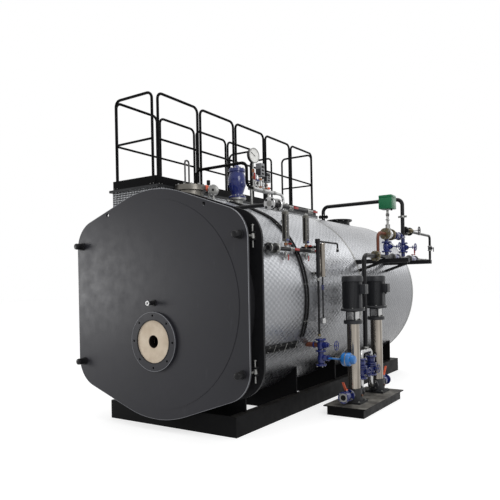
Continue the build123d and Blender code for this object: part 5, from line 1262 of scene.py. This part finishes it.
@fills("black_steel", "control_conduits")
def conduit_run(piece):
    for back in CONDUIT_BACKS:
        route = [on_shell(back, -21 + 71 * step / 44) for step in range(45)]
        for step in range(1, 15):
            share = step / 14
            forward = 300 * share * share * (3 - 2 * share)
            route.append(on_shell(back - forward, 50 + 22 * share))
        piece.sweep(route, 11.2, RUBBER, 14)
        ahead = (route[-1] - route[-2]).normalized()
        piece.nut(route[-1] - ahead * 10, ahead, 19, 36, DULL, 2)
    for angles, radius in ((BUNDLE_ANGLES, BUNDLE_RADIUS), (CABLE_ANGLES, CABLE_RADIUS)):
        reach = LIE - BUNDLE_RADIUS + radius
        for angle in angles:
            piece.sweep([on_shell(470 + 180 * step, angle, reach) for step in range(5)], radius, RUBBER, 14)


@fills("steel")
def conduit_clips(piece):
    """Wire clips on each conduit, and straps across the bundle."""
    wires = []
    for angle in (-12, 8, 28, 46):
        lean = math.radians(angle)
        climbing = Vector((-math.sin(lean), 0, math.cos(lean)))
        wires += [(on_shell(back, angle), climbing) for back in CONDUIT_BACKS]
    for angle in BUNDLE_ANGLES:
        wires += [(on_shell(back, angle), ALONG) for back in (550, 780, 1020)]
    for place, way in wires:
        piece.torus(place, way, 12.5, 2.4, DULL, 18, 6)
    for back in (660, 900, 1140):
        strap = [on_shell(back, -22.6 - 0.6 * step, LIE + 13.5) for step in range(9)]
        piece.sweep(strap, 3.5, DULL, 8)


# Flue outlet and rear cover

@fills("steel")
def flange_bolts(piece):
    """The bolts of the flue outlet and the rear cover, and the cover's two grips."""
    piece.bolts(at(0, 4850, 2750), -UP, 213, 12, 8, 10, DULL)
    piece.bolts(at(0, 5245, AXIS_Z), ALONG, 605, 24, 12, 14, DULL)
    for side in BOTH:
        middle = at(side * 300, 5295, AXIS_Z)
        steps = (by(0, 0, -90), by(0, 45, -90), by(0, 45, 90), by(0, 0, 90))
        piece.tube([middle + step for step in steps], 9, 20, RAIL, 12)


# Floor, sky, lamps and camera, placed in metres
FLOOR_REACH = 60.0
FLOOR_GLOW = 0.67
SKY_STRENGTH = 0.60
EYE = Vector((4.3504, -7.1131, 1.6191))
YAW, PITCH, ROLL = (math.radians(angle) for angle in (32.453, -0.03, -1.1186))
LENS = 39.2
SENSOR = 36
SHIFT_X, SHIFT_Y = -0.0415, 0.0678


def background_rays(tree):
    """One for rays that show the background: straight to the eye, or by way of metal or glass."""
    path = tree.nodes.new("ShaderNodeLightPath")
    seen = path.outputs["Is Camera Ray"]
    for name in ("Is Glossy Ray", "Is Transmission Ray"):
        either = tree.nodes.new("ShaderNodeMath")
        either.operation = "MAXIMUM"
        tree.links.new(seen, either.inputs[0])
        tree.links.new(path.outputs[name], either.inputs[1])
        seen = either.outputs[0]
    return seen


def studio_floor():
    look = Graph("studio_floor")
    look.finish(look.mix(look.cloud(0.7, 3), srgb(184, 184, 184), srgb(190, 190, 190)), 0.8, 0.0)
    look.shader.inputs["Specular IOR Level"].default_value = 0.1
    look.shader.inputs["Emission Color"].default_value = (1, 1, 1, 1)
    glow = look.times(background_rays(look.material.node_tree), FLOOR_GLOW)
    look.put(glow, look.shader.inputs["Emission Strength"])
    mesh = bpy.data.meshes.new("studio_floor")
    corners = [(FLOOR_REACH * x, FLOOR_REACH * y, 0) for x, y in ((-1, -1), (1, -1), (1, 1), (-1, 1))]
    mesh.from_pydata(corners, [], [(0, 1, 2, 3)])
    mesh.materials.append(look.material)
    floor = show("studio_floor", mesh)


def studio_sky():
    world = bpy.data.worlds.new("studio")
    bpy.context.scene.world = world
    world.use_nodes = True
    tree = world.node_tree
    background = tree.nodes["Background"]
    background.inputs["Color"].default_value = (1, 1, 1, 1)
    strength = tree.nodes.new("ShaderNodeMapRange")
    strength.inputs["To Min"].default_value = SKY_STRENGTH
    strength.inputs["To Max"].default_value = 1.0
    tree.links.new(background_rays(tree), strength.inputs["Value"])
    tree.links.new(strength.outputs["Result"], background.inputs["Strength"])


def lamp(name, place, target, size, power):
    light = bpy.data.lights.new(name, "AREA")
    light.shape = "RECTANGLE"
    light.size, light.size_y = size
    light.energy = power
    lit = show(name, light)
    lit.location = place
    lit.rotation_euler = (Vector(target) - Vector(place)).to_track_quat("-Z", "Y").to_euler()


def photo_camera():
    """The camera that saw the boiler, from its eye point and three angles."""
    lens = bpy.data.cameras.new("photo_camera")
    lens.sensor_width = SENSOR
    lens.lens = LENS
    lens.shift_x, lens.shift_y = SHIFT_X, SHIFT_Y
    lens.clip_end = 200
    camera = show("photo_camera", lens)
    stance = Matrix.Translation(EYE)
    for angle, axis in ((YAW, "Z"), (math.pi / 2 + PITCH, "X"), (ROLL, "Z")):
        stance = stance @ Matrix.Rotation(angle, 4, axis)
    camera.matrix_world = stance
    bpy.context.scene.camera = camera


studio_floor()
studio_sky()
lamp("top_light", (0.5, 0.5, 8.5), (0, 0.5, 2), (6, 8), 260)
lamp("right_light", (4.8, -3.6, 4.6), (1.1, -1.2, 1.9), (2, 2.5), 110)
lamp("front_light", (-4.4, -5.0, 1.7), (-0.7, -2.7, 1.5), (1.6, 1.6), 88)
lamp("rear_light", (3.5, 7.5, 5.0), (0.5, 1.5, 1.8), (4, 4), 60)
photo_camera()
bpy.context.scene.view_settings.view_transform = "Standard"
